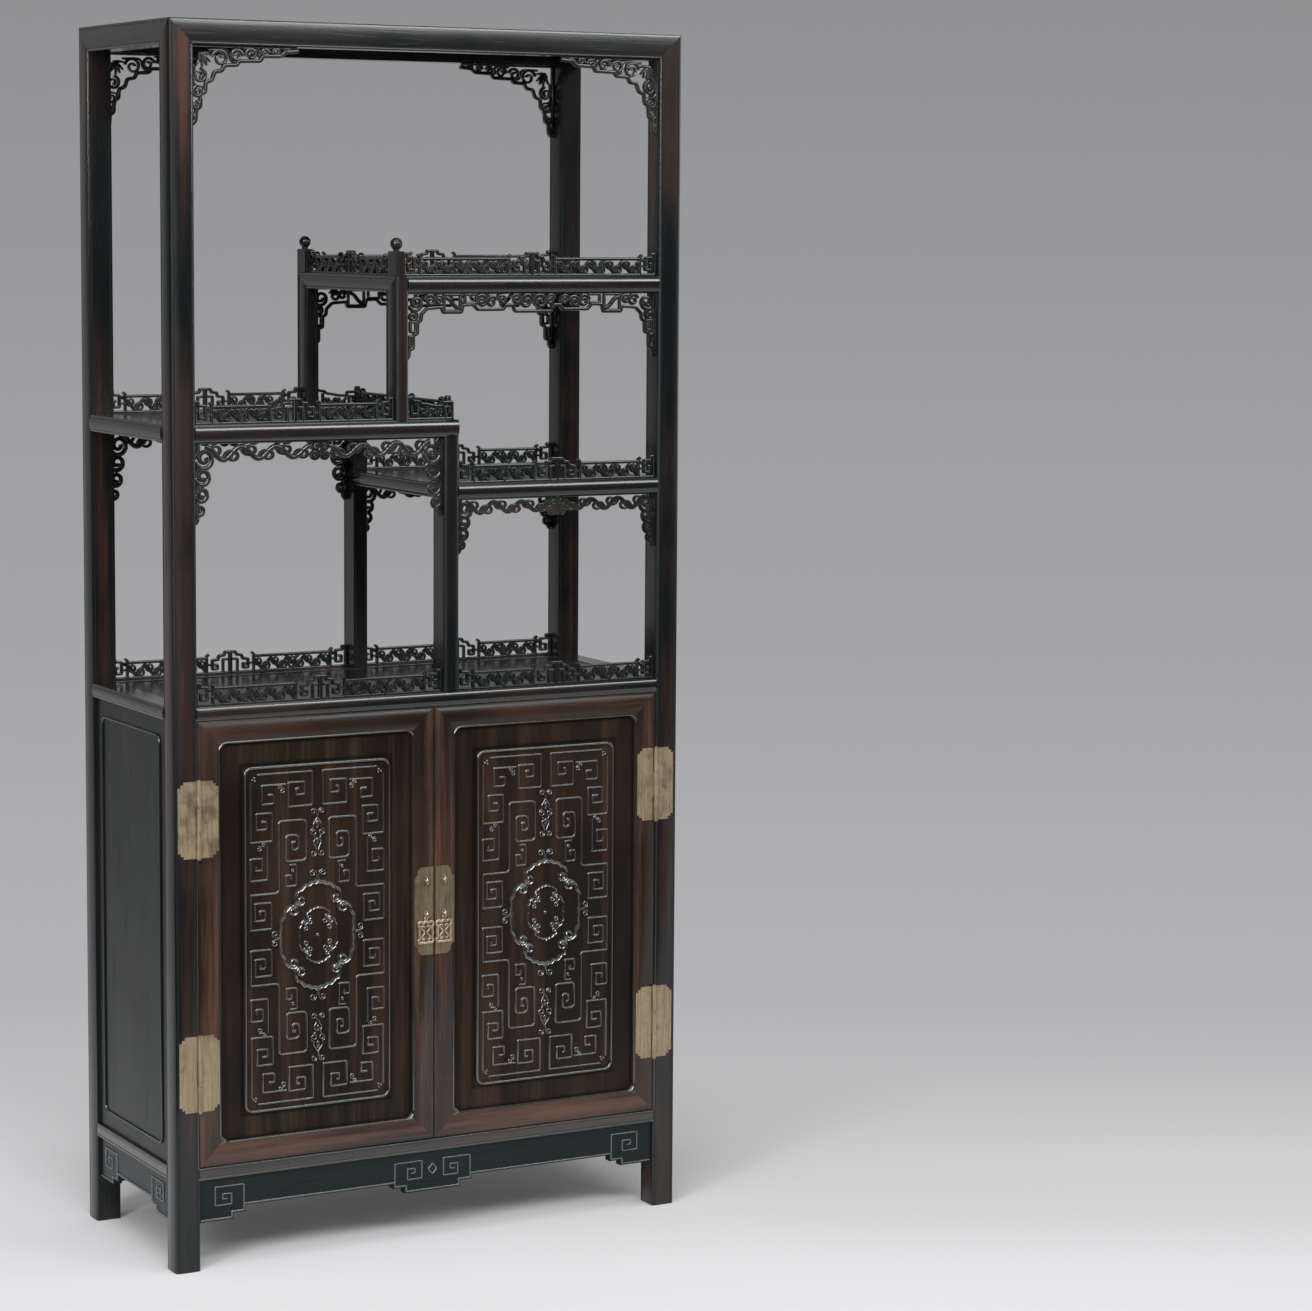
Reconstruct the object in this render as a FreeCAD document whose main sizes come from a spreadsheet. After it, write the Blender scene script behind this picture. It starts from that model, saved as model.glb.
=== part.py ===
"""Display cabinet of dark hardwood: open stepped shelves over a cupboard with two doors.

Frame: +Z up, front towards -Y, origin on the floor at the middle of the footprint.
All lengths are millimetres. Each driving length stands once in the sheet below.
"""
import FreeCAD, Part
import math
import os

import Sketcher

VECTOR = FreeCAD.Vector
AXIS_X = VECTOR(1, 0, 0)
AXIS_Y = VECTOR(0, 1, 0)
AXIS_Z = VECTOR(0, 0, 1)

SHEET_VALUES = (
    # the whole frame
    ("height", 1900.0),
    ("width", 870.0),
    ("depth", 375.0),
    ("post_side", 38.0),
    ("bead_wide", 4.0),
    ("face_drop", 1.4),
    # heights of the shelves' upper faces above the floor
    ("deck_top", 871.0),
    ("base_top", 161.0),
    ("upper_rail_tall", 25.0),
    ("middle_rail_tall", 26.0),
    ("lower_rail_tall", 23.0),
    ("deck_rail_tall", 21.0),
    ("base_rail_tall", 20.0),
    # where the steps stand, from the left face of the cabinet
    ("upper_step_wide", 20.0),
    ("lower_step_wide", 25.0),
    # shelf boards, held by tongues in the rails
    ("board_thick", 12.0),
    ("board_drop", 1.0),
    ("tongue_thick", 5.0),
    ("tongue_deep", 7.0),
    # cupboard panels
    ("side_panel_thick", 9.0),
    ("side_panel_back", 5.0),
    ("border_inset", 26.0),
    ("border_wide", 2.5),
    ("border_rise", 1.5),
    ("border_radius", 14.0),
    ("inner_shelf_level", 500.0),
    ("inner_shelf_thick", 12.0),
    ("inner_shelf_front_gap", 34.0),
    ("bearer_side", 16.0),
    ("slide_gap", 0.5),
    # doors
    ("door_thick", 22.0),
    ("door_gap", 1.0),
    ("meeting_gap", 1.5),
    ("door_member_wide", 36.0),
    ("door_panel_thick", 9.0),
    ("door_panel_back", 6.0),
    ("door_tongue_deep", 8.0),
    ("door_tongue_thick", 4.0),
    ("tablet_inset", 38.0),
    ("tablet_bead_wide", 5.0),
    ("tablet_rise", 5.0),
    ("tablet_field_rise", 3.0),
    ("tablet_radius", 16.0),
    # brass plates, hinges and pulls
    ("plate_thick", 1.6),
    ("hinge_tall", 118.0),
    ("hinge_leaf_wide", 33.0),
    ("hinge_upper_level", 700.0),
    ("hinge_lower_level", 308.0),
    ("hinge_notch", 9.0),
    ("knuckle_radius", 3.6),
    ("knuckle_gap", 0.4),
    ("pin_radius", 1.6),
    ("pin_gap", 0.05),
    ("pin_head_radius", 3.2),
    ("pin_head_tall", 2.0),
    ("lock_plate_wide", 33.0),
    ("lock_plate_tall", 140.0),
    ("lock_plate_level", 527.0),
    ("lock_plate_notch", 12.0),
    ("lock_plate_edge_gap", 1.0),
    ("ring_radius", 6.0),
    ("ring_wire", 1.5),
    ("ring_stand", 2.2),
    ("ring_from_edge", 15.0),
    ("staple_level", 575.0),
    ("eye_level", 521.0),
    ("pull_wide", 29.0),
    ("pull_tall", 40.0),
    ("pull_thick", 2.0),
    ("pull_hole_gap", 0.5),
    ("pull_window", 7.0),
    # carved strips in the open bays
    ("fret_thick", 9.0),
    ("fret_setback", 5.0),
    ("gallery_tall", 30.0),
    ("middle_apron_drop", 125.0),
    ("lower_apron_drop", 88.0),
    ("bracket_long", 175.0),
    ("bracket_drop", 120.0),
    ("newel_wide", 14.0),
    ("newel_deep", 30.0),
    ("newel_tall", 38.0),
    ("newel_neck_radius", 5.0),
    ("newel_neck_tall", 2.0),
    ("newel_ball_radius", 9.5),
    # skirts under the base
    ("skirt_thick", 14.0),
    ("skirt_band", 48.0),
    ("overrun", 5.0),
)

# How high each stepped shelf stands, as a share of the open part over the deck, and where
# each stepped shelf ends, as a share of the width.
UPPER_SHELF_SHARE = 0.6297
MIDDLE_SHELF_SHARE = 0.414
LOWER_SHELF_SHARE = 0.3158
UPPER_STEP_SHARE = 0.4253
LOWER_STEP_SHARE = 0.5483
# how far the upper apron drops, as a share of the clear height over the middle shelf
UPPER_DROP_SHARE = 0.5331
# how far each pointed shoulder goes into the depth of its bar, and where its tenon lies
SHOULDER_SHARE = 0.32
TENON_BACK_SHARE = 0.36
TENON_LOW_SHARE = 0.25


class Size:
    """A length together with the sheet formula that it comes from."""

    def __init__(self, value, formula):
        self.value = float(value)
        self.formula = formula

    def __float__(self):
        return self.value

    def __add__(self, other):
        other = sized(other)
        return Size(self.value + other.value, f"({self.formula} + {other.formula})")

    def __sub__(self, other):
        other = sized(other)
        return Size(self.value - other.value, f"({self.formula} - {other.formula})")

    def __mul__(self, share):
        share = sized(share)
        return Size(self.value * share.value, f"({self.formula} * {share.formula})")

    def __truediv__(self, share):
        share = sized(share)
        return Size(self.value / share.value, f"({self.formula} / {share.formula})")

    def __neg__(self):
        return Size(-self.value, f"(0 - {self.formula})")


def sized(number):
    """A Size for a plain share or zero, or the Size itself."""
    if isinstance(number, Size):
        return number
    return Size(number, repr(float(number)))


ZERO = sized(0)
doc = FreeCAD.newDocument("book_cabinet")
sheet = doc.addObject("Spreadsheet::Sheet", "Sizes")


class Sizes:
    """Every driving length by name, each bound to its cell of the sheet."""


def fill_sheet():
    """Write the driving lengths to the sheet and keep each as a Size."""
    for row, (name, value) in enumerate(SHEET_VALUES, start=1):
        sheet.set(f"A{row}", name)
        sheet.set(f"B{row}", str(value))
        sheet.setAlias(f"B{row}", name)
        setattr(Sizes, name, Size(value, f"Sizes.{name}"))
    doc.recompute()


fill_sheet()
S = Sizes

# places that several pieces share
FRONT = -S.depth / 2
BACK = S.depth / 2
LEFT = -S.width / 2
RIGHT = S.width / 2
POST_LEFT = LEFT + S.post_side
POST_RIGHT = RIGHT - S.post_side
POST_FRONT = FRONT + S.post_side
POST_BACK = BACK - S.post_side
BAY_WIDE = S.width - S.post_side * 2
BAY_DEEP = S.depth - S.post_side * 2
UPPER_STEP_LEFT = LEFT + S.width * UPPER_STEP_SHARE
UPPER_STEP_RIGHT = UPPER_STEP_LEFT + S.upper_step_wide
LOWER_STEP_RIGHT = LEFT + S.width * LOWER_STEP_SHARE
LOWER_STEP_LEFT = LOWER_STEP_RIGHT - S.lower_step_wide
TOP_UNDER = S.height - S.post_side
OPEN_TALL = S.height - S.deck_top
UPPER_TOP = S.deck_top + OPEN_TALL * UPPER_SHELF_SHARE
MIDDLE_TOP = S.deck_top + OPEN_TALL * MIDDLE_SHELF_SHARE
LOWER_TOP = S.deck_top + OPEN_TALL * LOWER_SHELF_SHARE
UPPER_UNDER = UPPER_TOP - S.upper_rail_tall
MIDDLE_UNDER = MIDDLE_TOP - S.middle_rail_tall
LOWER_UNDER = LOWER_TOP - S.lower_rail_tall
UPPER_APRON_DROP = (UPPER_UNDER - MIDDLE_TOP) * UPPER_DROP_SHARE
DECK_UNDER = S.deck_top - S.deck_rail_tall
BASE_UNDER = S.base_top - S.base_rail_tall


def bind(item, **sizes):
    """Bind each named property of an object to the formula of a Size."""
    for name, size in sizes.items():
        setattr(item, name, float(size))
        item.setExpression(name, sized(size).formula)


def place(item, x, y, z, turn=None):
    """Put an object at x, y, z with an optional rotation, bound to the sheet."""
    spin = turn or FreeCAD.Rotation()
    item.Placement = FreeCAD.Placement(VECTOR(float(x), float(y), float(z)), spin)
    for letter, size in (("x", x), ("y", y), ("z", z)):
        item.setExpression(f"Placement.Base.{letter}", sized(size).formula)
    return item


def about_z(degrees):
    """A turn about the vertical."""
    return FreeCAD.Rotation(AXIS_Z, degrees)


def upright(degrees):
    """Stand a bar that lies along X on its end, then turn it about the vertical."""
    return about_z(degrees).multiply(FreeCAD.Rotation(AXIS_Y, -90))


def block(name, x, y, z, wide, deep, tall):
    """A plain box from its lowest corner and its three sizes."""
    item = doc.addObject("Part::Box", name)
    bind(item, Length=wide, Width=deep, Height=tall)
    return place(item, x, y, z)


def rod(name, x, y, z, radius, tall, turn=None):
    """A plain cylinder that starts at x, y, z."""
    item = doc.addObject("Part::Cylinder", name)
    bind(item, Radius=radius, Height=tall)
    return place(item, x, y, z, turn)


def joined(name, pieces):
    """Pieces fused into one solid."""
    item = doc.addObject("Part::MultiFuse", name)
    item.Shapes = pieces
    return item


def grouped(name, pieces):
    """Separate solids kept together as one group."""
    item = doc.addObject("Part::Compound", name)
    item.Links = pieces
    return item


def cut(name, base, tool):
    """The base less the tool."""
    item = doc.addObject("Part::Cut", name)
    item.Base = base
    item.Tool = tool
    return item


def origin_plane(body, role):
    """One of the body's own origin planes, by its role."""
    return next(item for item in body.Origin.OriginFeatures if item.Role == role)


def new_sketch(body, name, role, offset=None):
    """A sketch on an origin plane of its body, set off along the plane's normal."""
    sketch = body.newObject("Sketcher::SketchObject", name)
    sketch.AttachmentSupport = [(origin_plane(body, role), "")]
    sketch.MapMode = "FlatFace"
    if offset is not None:
        sketch.AttachmentOffset.Base.z = float(offset)
        sketch.setExpression("AttachmentOffset.Base.z", offset.formula)
    return sketch


def pin_point(sketch, edge, end, across, up):
    """Fix one end of an edge at a place from the sketch's origin."""
    for kind, axis, size in (("DistanceX", -2, across), ("DistanceY", -1, up)):
        if size.value == 0:
            sketch.addConstraint(Sketcher.Constraint("PointOnObject", edge, end, axis))
            continue
        rule = Sketcher.Constraint(kind, -1, 1, edge, end, size.value)
        index = sketch.addConstraint(rule)
        sketch.setExpression(f"Constraints[{index}]", size.formula)


def outline(sketch, corners, arches=None):
    """A closed outline through corners; an arch lifts an edge to its right-hand side."""
    count = len(corners)
    rises = arches or [None] * count
    for number, (across, up) in enumerate(corners):
        next_across, next_up = corners[(number + 1) % count]
        start = VECTOR(across.value, up.value, 0)
        finish = VECTOR(next_across.value, next_up.value, 0)
        rise = rises[number]
        if rise is None:
            edge = sketch.addGeometry(Part.LineSegment(start, finish))
        else:
            chord = finish - start
            side = VECTOR(chord.y, -chord.x, 0).normalize()
            middle = (start + finish) / 2 + side * rise.lift.value
            edge = sketch.addGeometry(Part.Arc(start, middle, finish))
        first = 1 if (sketch.getPoint(edge, 1) - start).Length < 1e-6 else 2
        pin_point(sketch, edge, first, across, up)
        pin_point(sketch, edge, 3 - first, next_across, next_up)
        if rise is not None:
            rule = Sketcher.Constraint("Radius", edge, rise.radius.value)
            index = sketch.addConstraint(rule)
            sketch.setExpression(f"Constraints[{index}]", rise.radius.formula)


class Arch:
    """A shallow arch over a straight edge, by the edge's length and the arch's lift."""

    def __init__(self, chord, lift):
        half = chord / 2
        self.lift = lift
        self.radius = (half * half + lift * lift) / (lift * 2)


class Quarter:
    """A rounded corner of a given radius."""

    def __init__(self, radius):
        self.lift = radius * (1 - math.sqrt(0.5))
        self.radius = radius


def rounded(across, up, next_across, next_up, radius):
    """Corners and arcs of an upright rectangle with rounded corners, anticlockwise."""
    corner = Quarter(radius)
    points = [
        (across + radius, up), (next_across - radius, up),
        (next_across, up + radius), (next_across, next_up - radius),
        (next_across - radius, next_up), (across + radius, next_up),
        (across, next_up - radius), (across, up + radius),
    ]
    return points, [None, corner] * 4


def pad(body, name, sketch, length, backwards=False):
    """A pad of a sketch by a bound length."""
    feature = body.newObject("PartDesign::Pad", name)
    feature.Profile = sketch
    bind(feature, Length=length)
    feature.Reversed = backwards
    return feature


def pocket(body, name, sketch, length=None, backwards=False):
    """A pocket by a bound length, or right through where none is given."""
    feature = body.newObject("PartDesign::Pocket", name)
    feature.Profile = sketch
    feature.Reversed = backwards
    if length is None:
        feature.Type = "ThroughAll"
    else:
        bind(feature, Length=length)
    return feature


def rectangle(across, up, next_across, next_up):
    """The four corners of an upright rectangle, anticlockwise."""
    return [(across, up), (next_across, up), (next_across, next_up), (across, next_up)]


def moulded_side(start, finish, beads):
    """Break points and arches along one moulded side, between its two ends.

    The side runs along one axis; a bead stands at each end that is asked for and the
    rest of the side is a shallow arch.
    """
    along = 0 if abs((finish[0] - start[0]).value) > abs((finish[1] - start[1]).value) else 1
    run = finish[along] - start[along]
    forward = run.value > 0
    face = run if forward else -run
    bead = Arch(S.bead_wide, S.face_drop)
    points, arches = [start], []
    if beads[0]:
        points.append(stepped(start, along, S.bead_wide, forward))
        arches.append(bead)
        face = face - S.bead_wide
    if beads[1]:
        face = face - S.bead_wide
    arches.append(Arch(face, S.face_drop))
    if beads[1]:
        points.append(stepped(finish, along, S.bead_wide, not forward))
        arches.append(bead)
    return points, arches


def stepped(point, along, distance, forward):
    """A point moved along one axis of its sketch."""
    move = distance if forward else -distance
    moved = list(point)
    moved[along] = moved[along] + move
    return tuple(moved)


def bar_outline(sketch, tall, deep, outer, beads):
    """Section of a frame member: back plain, front moulded, and one more side moulded.

    outer names the side that also shows: "high", "low" or None. beads says whether the
    outer arris has its own bead on both faces.
    """
    low = S.face_drop if outer == "low" else ZERO
    high = tall - S.face_drop if outer == "high" else tall
    corners = [(deep, low), (deep, high), (S.face_drop, high), (S.face_drop, low)]
    plans = [
        None,
        (True, beads) if outer == "high" else None,
        (beads or outer != "high", beads or outer != "low"),
        (beads, True) if outer == "low" else None,
    ]
    points, arches = [], []
    for number, plan in enumerate(plans):
        start, finish = corners[number], corners[(number + 1) % 4]
        if plan is None:
            points.append(start)
            arches.append(None)
            continue
        more_points, more_arches = moulded_side(start, finish, plan)
        points.extend(more_points)
        arches.extend(more_arches)
    outline(sketch, points, arches)


RELIEFS = {}


def bar(name, length, tall, deep, start, finish, outer=None, beads=False):
    """A frame member along X with its front face towards -Y.

    start and finish say how each end is worked: None for a square end, "tenon" for a
    pointed shoulder with a tenon, whose point adds half the bar's height to the length,
    or a Size for a three-way mitre that is so long.
    """
    body = doc.addObject("PartDesign::Body", name)
    nose = tall / 2
    lead = nose if start == "tenon" else ZERO
    tail = nose if finish == "tenon" else ZERO
    whole = length + lead + tail
    section = new_sketch(body, f"{name}_section", "YZ_Plane")
    bar_outline(section, tall, deep, outer, beads)
    pad(body, f"{name}_stock", section, whole)
    if "tenon" in (start, finish):
        work_tenons(body, name, tall, deep, lead, tail, whole)
        RELIEFS[name] = point_relief(f"{name}_relief", tall, deep, lead, tail, whole)
    if isinstance(start, Size):
        work_mitre(body, f"{name}_start", ZERO, start, tall, deep, outer == "low")
    if isinstance(finish, Size):
        work_mitre(body, f"{name}_finish", whole, -finish, tall, deep, outer == "low")
    return body


def work_tenons(body, name, tall, deep, lead, tail, whole):
    """Cut the pointed shoulders and leave a tenon behind each."""
    middle = tall / 2
    points = new_sketch(body, f"{name}_points", "XZ_Plane")
    ends = new_sketch(body, f"{name}_ends", "XZ_Plane", -(deep * SHOULDER_SHARE))
    for at, nose in ((ZERO, lead), (whole, -tail)):
        if nose.value == 0:
            continue
        outline(points, [(at, tall), (at, middle), (at + nose, tall)])
        outline(points, [(at, ZERO), (at + nose, ZERO), (at, middle)])
        outline(ends, rectangle(at, ZERO, at + nose, tall))
    pocket(body, f"{name}_point_cut", points, deep * SHOULDER_SHARE)
    pocket(body, f"{name}_end_cut", ends)
    tenon = new_sketch(body, f"{name}_tenon", "YZ_Plane")
    outline(tenon, rectangle(deep * SHOULDER_SHARE, tall * TENON_LOW_SHARE,
                             deep * (1 - TENON_BACK_SHARE), tall * (1 - TENON_LOW_SHARE)))
    pad(body, f"{name}_tenon_pad", tenon, whole)


def point_relief(name, tall, deep, lead, tail, whole):
    """The space of the pointed shoulders, carried past the face for cutting mortises."""
    body = doc.addObject("PartDesign::Body", name)
    middle = tall / 2
    points = new_sketch(body, f"{name}_points", "XZ_Plane", S.overrun)
    for at, nose in ((ZERO, lead), (whole, -tail)):
        if nose.value != 0:
            outline(points, [(at, middle), (at + nose, ZERO), (at + nose, tall)])
    pad(body, f"{name}_pad", points, S.overrun + deep * SHOULDER_SHARE, backwards=True)
    return body


def work_mitre(body, name, at, reach, tall, deep, low):
    """Cut one end to a third of a corner, between the two bars that meet it there."""
    near, far = (ZERO, tall) if low else (tall, ZERO)
    face = new_sketch(body, f"{name}_face_mitre", "XZ_Plane")
    outline(face, [(at, near), (at + reach, far), (at, far)])
    pocket(body, f"{name}_face_cut", face)
    top = new_sketch(body, f"{name}_top_mitre", "XY_Plane")
    outline(top, [(at, ZERO), (at + reach, deep), (at, deep)])
    pocket(body, f"{name}_top_cut", top, backwards=True)


def rail(name, side, low, high, under, tall, deep, ends, face, outer=None):
    """A rail along one side of the frame, from low to high, with its lower face at under.

    ends gives how the low and the high end are worked; face is where its outer face lies.
    """
    start, finish = ends if side in ("front", "right") else reversed(ends)
    body = bar(name, high - low, tall, deep, start, finish, outer)
    before = low - (tall / 2 if ends[0] == "tenon" else ZERO)
    beyond = high + (tall / 2 if ends[1] == "tenon" else ZERO)
    spots = {
        "front": (before, face, under, about_z(0)),
        "right": (face, before, under, about_z(90)),
        "back": (beyond, face, under, about_z(180)),
        "left": (face, beyond, under, about_z(-90)),
    }
    return place_bar(name, body, spots[side])


def place_bar(name, body, spot):
    """Put a bar in its place, together with the relief of its pointed shoulders."""
    if name in RELIEFS:
        place(RELIEFS[name], *spot)
    return place(body, *spot)


def tongued_board(name, lows, highs, thin, tongue_low, tongue_high, tongue_deep):
    """A board with a tongue on all four edges.

    lows and highs are the corners of the part that shows, thin is the number of the axis
    through its thickness, and the tongue lies between two places along that axis.
    """
    pieces = [block(f"{name}_field", *lows, *[b - a for a, b in zip(lows, highs)])]
    for axis in (0, 1, 2):
        if axis == thin:
            continue
        first, last = list(lows), list(highs)
        first[thin], last[thin] = tongue_low, tongue_high
        first[axis] = first[axis] - tongue_deep
        last[axis] = last[axis] + tongue_deep
        sizes = [b - a for a, b in zip(first, last)]
        pieces.append(block(f"{name}_tongue_{'xyz'[axis]}", *first, *sizes))
    return joined(name, pieces)


def shelf_board(name, left, right, shelf_top):
    """A shelf's board, level with its rails less a small drop."""
    top = shelf_top - S.board_drop
    under = top - S.board_thick
    tongue_low = under + (S.board_thick - S.tongue_thick) / 2
    lows = [left, POST_FRONT, under]
    highs = [right, POST_BACK, top]
    return tongued_board(name, lows, highs, 2, tongue_low, tongue_low + S.tongue_thick,
                         S.tongue_deep)


RAILS = {}
NODES = {}


def frame_rail(name, *details, **more):
    """Make a rail and remember it by name for the mortises of the posts."""
    RAILS[name] = rail(name, *details, **more)
    return RAILS[name]


def entering(*names):
    """The bars that enter another piece, with the reliefs of their pointed shoulders."""
    return [RAILS[name] for name in names] + [RELIEFS[name] for name in names]


def ring_rails(level, under, tall):
    """Four rails round a frame whose ends all stand in corner posts."""
    rails = []
    for side, low, high, face in (
        ("front", POST_LEFT, POST_RIGHT, FRONT),
        ("back", POST_LEFT, POST_RIGHT, BACK),
        ("left", POST_FRONT, POST_BACK, LEFT),
        ("right", POST_FRONT, POST_BACK, RIGHT),
    ):
        rails.append(frame_rail(f"{level}_{side}", side, low, high, under, tall, S.post_side,
                                ("tenon", "tenon"), face))
    return rails


def top_frame():
    """The top frame: four rails and the posts meet in three-way mitres."""
    side = S.post_side
    ends = (side, side)
    rails = [
        frame_rail("top_front", "front", LEFT, RIGHT, TOP_UNDER, side, side, ends, FRONT, "high"),
        frame_rail("top_back", "back", LEFT, RIGHT, TOP_UNDER, side, side, ends, BACK, "high"),
        frame_rail("top_left", "left", FRONT, BACK, TOP_UNDER, side, side, ends, LEFT, "high"),
        frame_rail("top_right", "right", FRONT, BACK, TOP_UNDER, side, side, ends, RIGHT, "high"),
    ]
    board = shelf_board("top_panel", POST_LEFT, POST_RIGHT, S.height - S.face_drop)
    NODES["top_panel"] = board
    NODES["top_rails"] = cut("top_rails", grouped("top_rail_set", rails), board)


def step_posts():
    """The short posts that carry the two stepped shelves, front and back."""
    rise = UPPER_TOP - MIDDLE_TOP
    foot = MIDDLE_TOP - S.upper_step_wide / 2
    for where, outer, x, y, turn in (
        ("front", "high", UPPER_STEP_RIGHT, FRONT, 0),
        ("back", "low", UPPER_STEP_LEFT, BACK, 180),
    ):
        post = bar(f"upper_step_{where}", rise, S.upper_step_wide, S.post_side,
                   "tenon", S.upper_rail_tall, outer, True)
        RAILS[f"upper_step_{where}"] = place_bar(f"upper_step_{where}", post,
                                                 (x, y, foot, upright(turn)))
    rise = MIDDLE_TOP - S.deck_top
    foot = S.deck_top - S.lower_step_wide / 2
    for where, outer, x, y, turn in (
        ("front", "low", LOWER_STEP_RIGHT, FRONT, 0),
        ("back", "high", LOWER_STEP_LEFT, BACK, 180),
    ):
        post = bar(f"lower_step_{where}", rise, S.lower_step_wide, S.post_side,
                   "tenon", S.middle_rail_tall, outer, True)
        RAILS[f"lower_step_{where}"] = place_bar(f"lower_step_{where}", post,
                                                 (x, y, foot, upright(turn)))


def upper_shelf():
    """The right-hand upper shelf: its left end is mitred onto the upper step posts."""
    tall, under = S.upper_rail_tall, UPPER_UNDER
    joints = (S.upper_step_wide, "tenon")
    ends = (S.post_side, S.post_side)
    rails = [
        frame_rail("upper_front", "front", UPPER_STEP_LEFT, POST_RIGHT, under, tall, S.post_side,
                   joints, FRONT),
        frame_rail("upper_back", "back", UPPER_STEP_LEFT, POST_RIGHT, under, tall, S.post_side,
                   joints, BACK),
        frame_rail("upper_left", "left", FRONT, BACK, under, tall, S.upper_step_wide, ends,
                   UPPER_STEP_LEFT),
        frame_rail("upper_right", "right", POST_FRONT, POST_BACK, under, tall, S.post_side,
                   ("tenon", "tenon"), RIGHT),
    ]
    board = shelf_board("upper_shelf_panel", UPPER_STEP_RIGHT, POST_RIGHT, UPPER_TOP)
    NODES["upper_shelf_panel"] = board
    NODES["upper_shelf_rails"] = cut("upper_shelf_rails", grouped("upper_set", rails), board)
    NODES["upper_step_posts"] = grouped(
        "upper_step_posts", [RAILS["upper_step_front"], RAILS["upper_step_back"]])


def middle_shelf():
    """The left-hand middle shelf: its right end is mitred onto the lower step posts."""
    tall, under = S.middle_rail_tall, MIDDLE_UNDER
    joints = ("tenon", S.lower_step_wide)
    ends = (S.post_side, S.post_side)
    rails = [
        frame_rail("middle_front", "front", POST_LEFT, LOWER_STEP_RIGHT, under, tall, S.post_side,
                   joints, FRONT),
        frame_rail("middle_back", "back", POST_LEFT, LOWER_STEP_RIGHT, under, tall, S.post_side,
                   joints, BACK),
        frame_rail("middle_left", "left", POST_FRONT, POST_BACK, under, tall, S.post_side,
                   ("tenon", "tenon"), LEFT),
        frame_rail("middle_right", "right", FRONT, BACK, under, tall, S.lower_step_wide, ends,
                   LOWER_STEP_RIGHT),
    ]
    board = shelf_board("middle_shelf_panel", POST_LEFT, LOWER_STEP_LEFT, MIDDLE_TOP)
    tools = grouped("middle_tools", [board] + entering("upper_step_front", "upper_step_back"))
    NODES["middle_shelf_panel"] = board
    NODES["middle_shelf_rails"] = cut("middle_shelf_rails", grouped("middle_set", rails), tools)


def lower_shelf():
    """The right-hand lower shelf, between the lower step posts and the right posts."""
    tall, under = S.lower_rail_tall, LOWER_UNDER
    tenons = ("tenon", "tenon")
    rails = [
        frame_rail("lower_front", "front", LOWER_STEP_RIGHT, POST_RIGHT, under, tall, S.post_side,
                   tenons, FRONT),
        frame_rail("lower_back", "back", LOWER_STEP_RIGHT, POST_RIGHT, under, tall, S.post_side,
                   tenons, BACK),
        frame_rail("lower_left", "left", POST_FRONT, POST_BACK, under, tall, S.lower_step_wide,
                   tenons, LOWER_STEP_LEFT),
        frame_rail("lower_right", "right", POST_FRONT, POST_BACK, under, tall, S.post_side,
                   tenons, RIGHT),
    ]
    board = shelf_board("lower_shelf_panel", LOWER_STEP_RIGHT, POST_RIGHT, LOWER_TOP)
    NODES["lower_shelf_panel"] = board
    NODES["lower_shelf_rails"] = cut("lower_shelf_rails", grouped("lower_set", rails), board)
    joints = entering("lower_front", "lower_back", "lower_left")
    posts = grouped("lower_step_set", [RAILS["lower_step_front"], RAILS["lower_step_back"]])
    NODES["lower_step_posts"] = cut("lower_step_posts", posts,
                                    grouped("lower_step_tools", joints))


def deck_and_base():
    """The cupboard's top, which is the lowest open shelf, and its bottom frame."""
    rails = ring_rails("deck", DECK_UNDER, S.deck_rail_tall)
    board = shelf_board("deck_panel", POST_LEFT, POST_RIGHT, S.deck_top)
    NODES["deck_panel"] = board
    panels = [NODES["side_panel_left"], NODES["side_panel_right"], NODES["back_panel"]]
    tools = [board] + panels + entering("lower_step_front", "lower_step_back")
    NODES["deck_rails"] = cut("deck_rails", grouped("deck_set", rails),
                              grouped("deck_tools", tools))
    rails = ring_rails("base", BASE_UNDER, S.base_rail_tall)
    board = shelf_board("base_panel", POST_LEFT, POST_RIGHT, S.base_top)
    NODES["base_panel"] = board
    NODES["base_rails"] = cut("base_rails", grouped("base_set", rails),
                              grouped("base_tools", [board] + panels))


def bordered_panel(name, face, inward):
    """A cupboard side: a tongued board with a raised line near its edges.

    face is the cabinet's outer face on that side and inward is 1 or -1 along X.
    """
    outer = face + S.side_panel_back * inward
    inner = outer + S.side_panel_thick * inward
    low_x, high_x = (outer, inner) if inward > 0 else (inner, outer)
    tongue_low = low_x + (S.side_panel_thick - S.tongue_thick) / 2
    board = tongued_board(f"{name}_board", [low_x, POST_FRONT, S.base_top],
                          [high_x, POST_BACK, DECK_UNDER], 0, tongue_low,
                          tongue_low + S.tongue_thick, S.tongue_deep)
    body = doc.addObject("PartDesign::Body", f"{name}_border")
    sketch = new_sketch(body, f"{name}_border_line", "YZ_Plane")
    inset = S.border_inset
    lows = (POST_FRONT + inset, S.base_top + inset)
    highs = (POST_BACK - inset, DECK_UNDER - inset)
    outline(sketch, *rounded(*lows, *highs, S.border_radius))
    line = S.border_wide
    outline(sketch, *rounded(lows[0] + line, lows[1] + line, highs[0] - line, highs[1] - line,
                             S.border_radius - line))
    pad(body, f"{name}_border_pad", sketch, S.border_rise, backwards=inward > 0)
    place(body, outer, ZERO, ZERO)
    NODES[name] = joined(name, [board, body])


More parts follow.
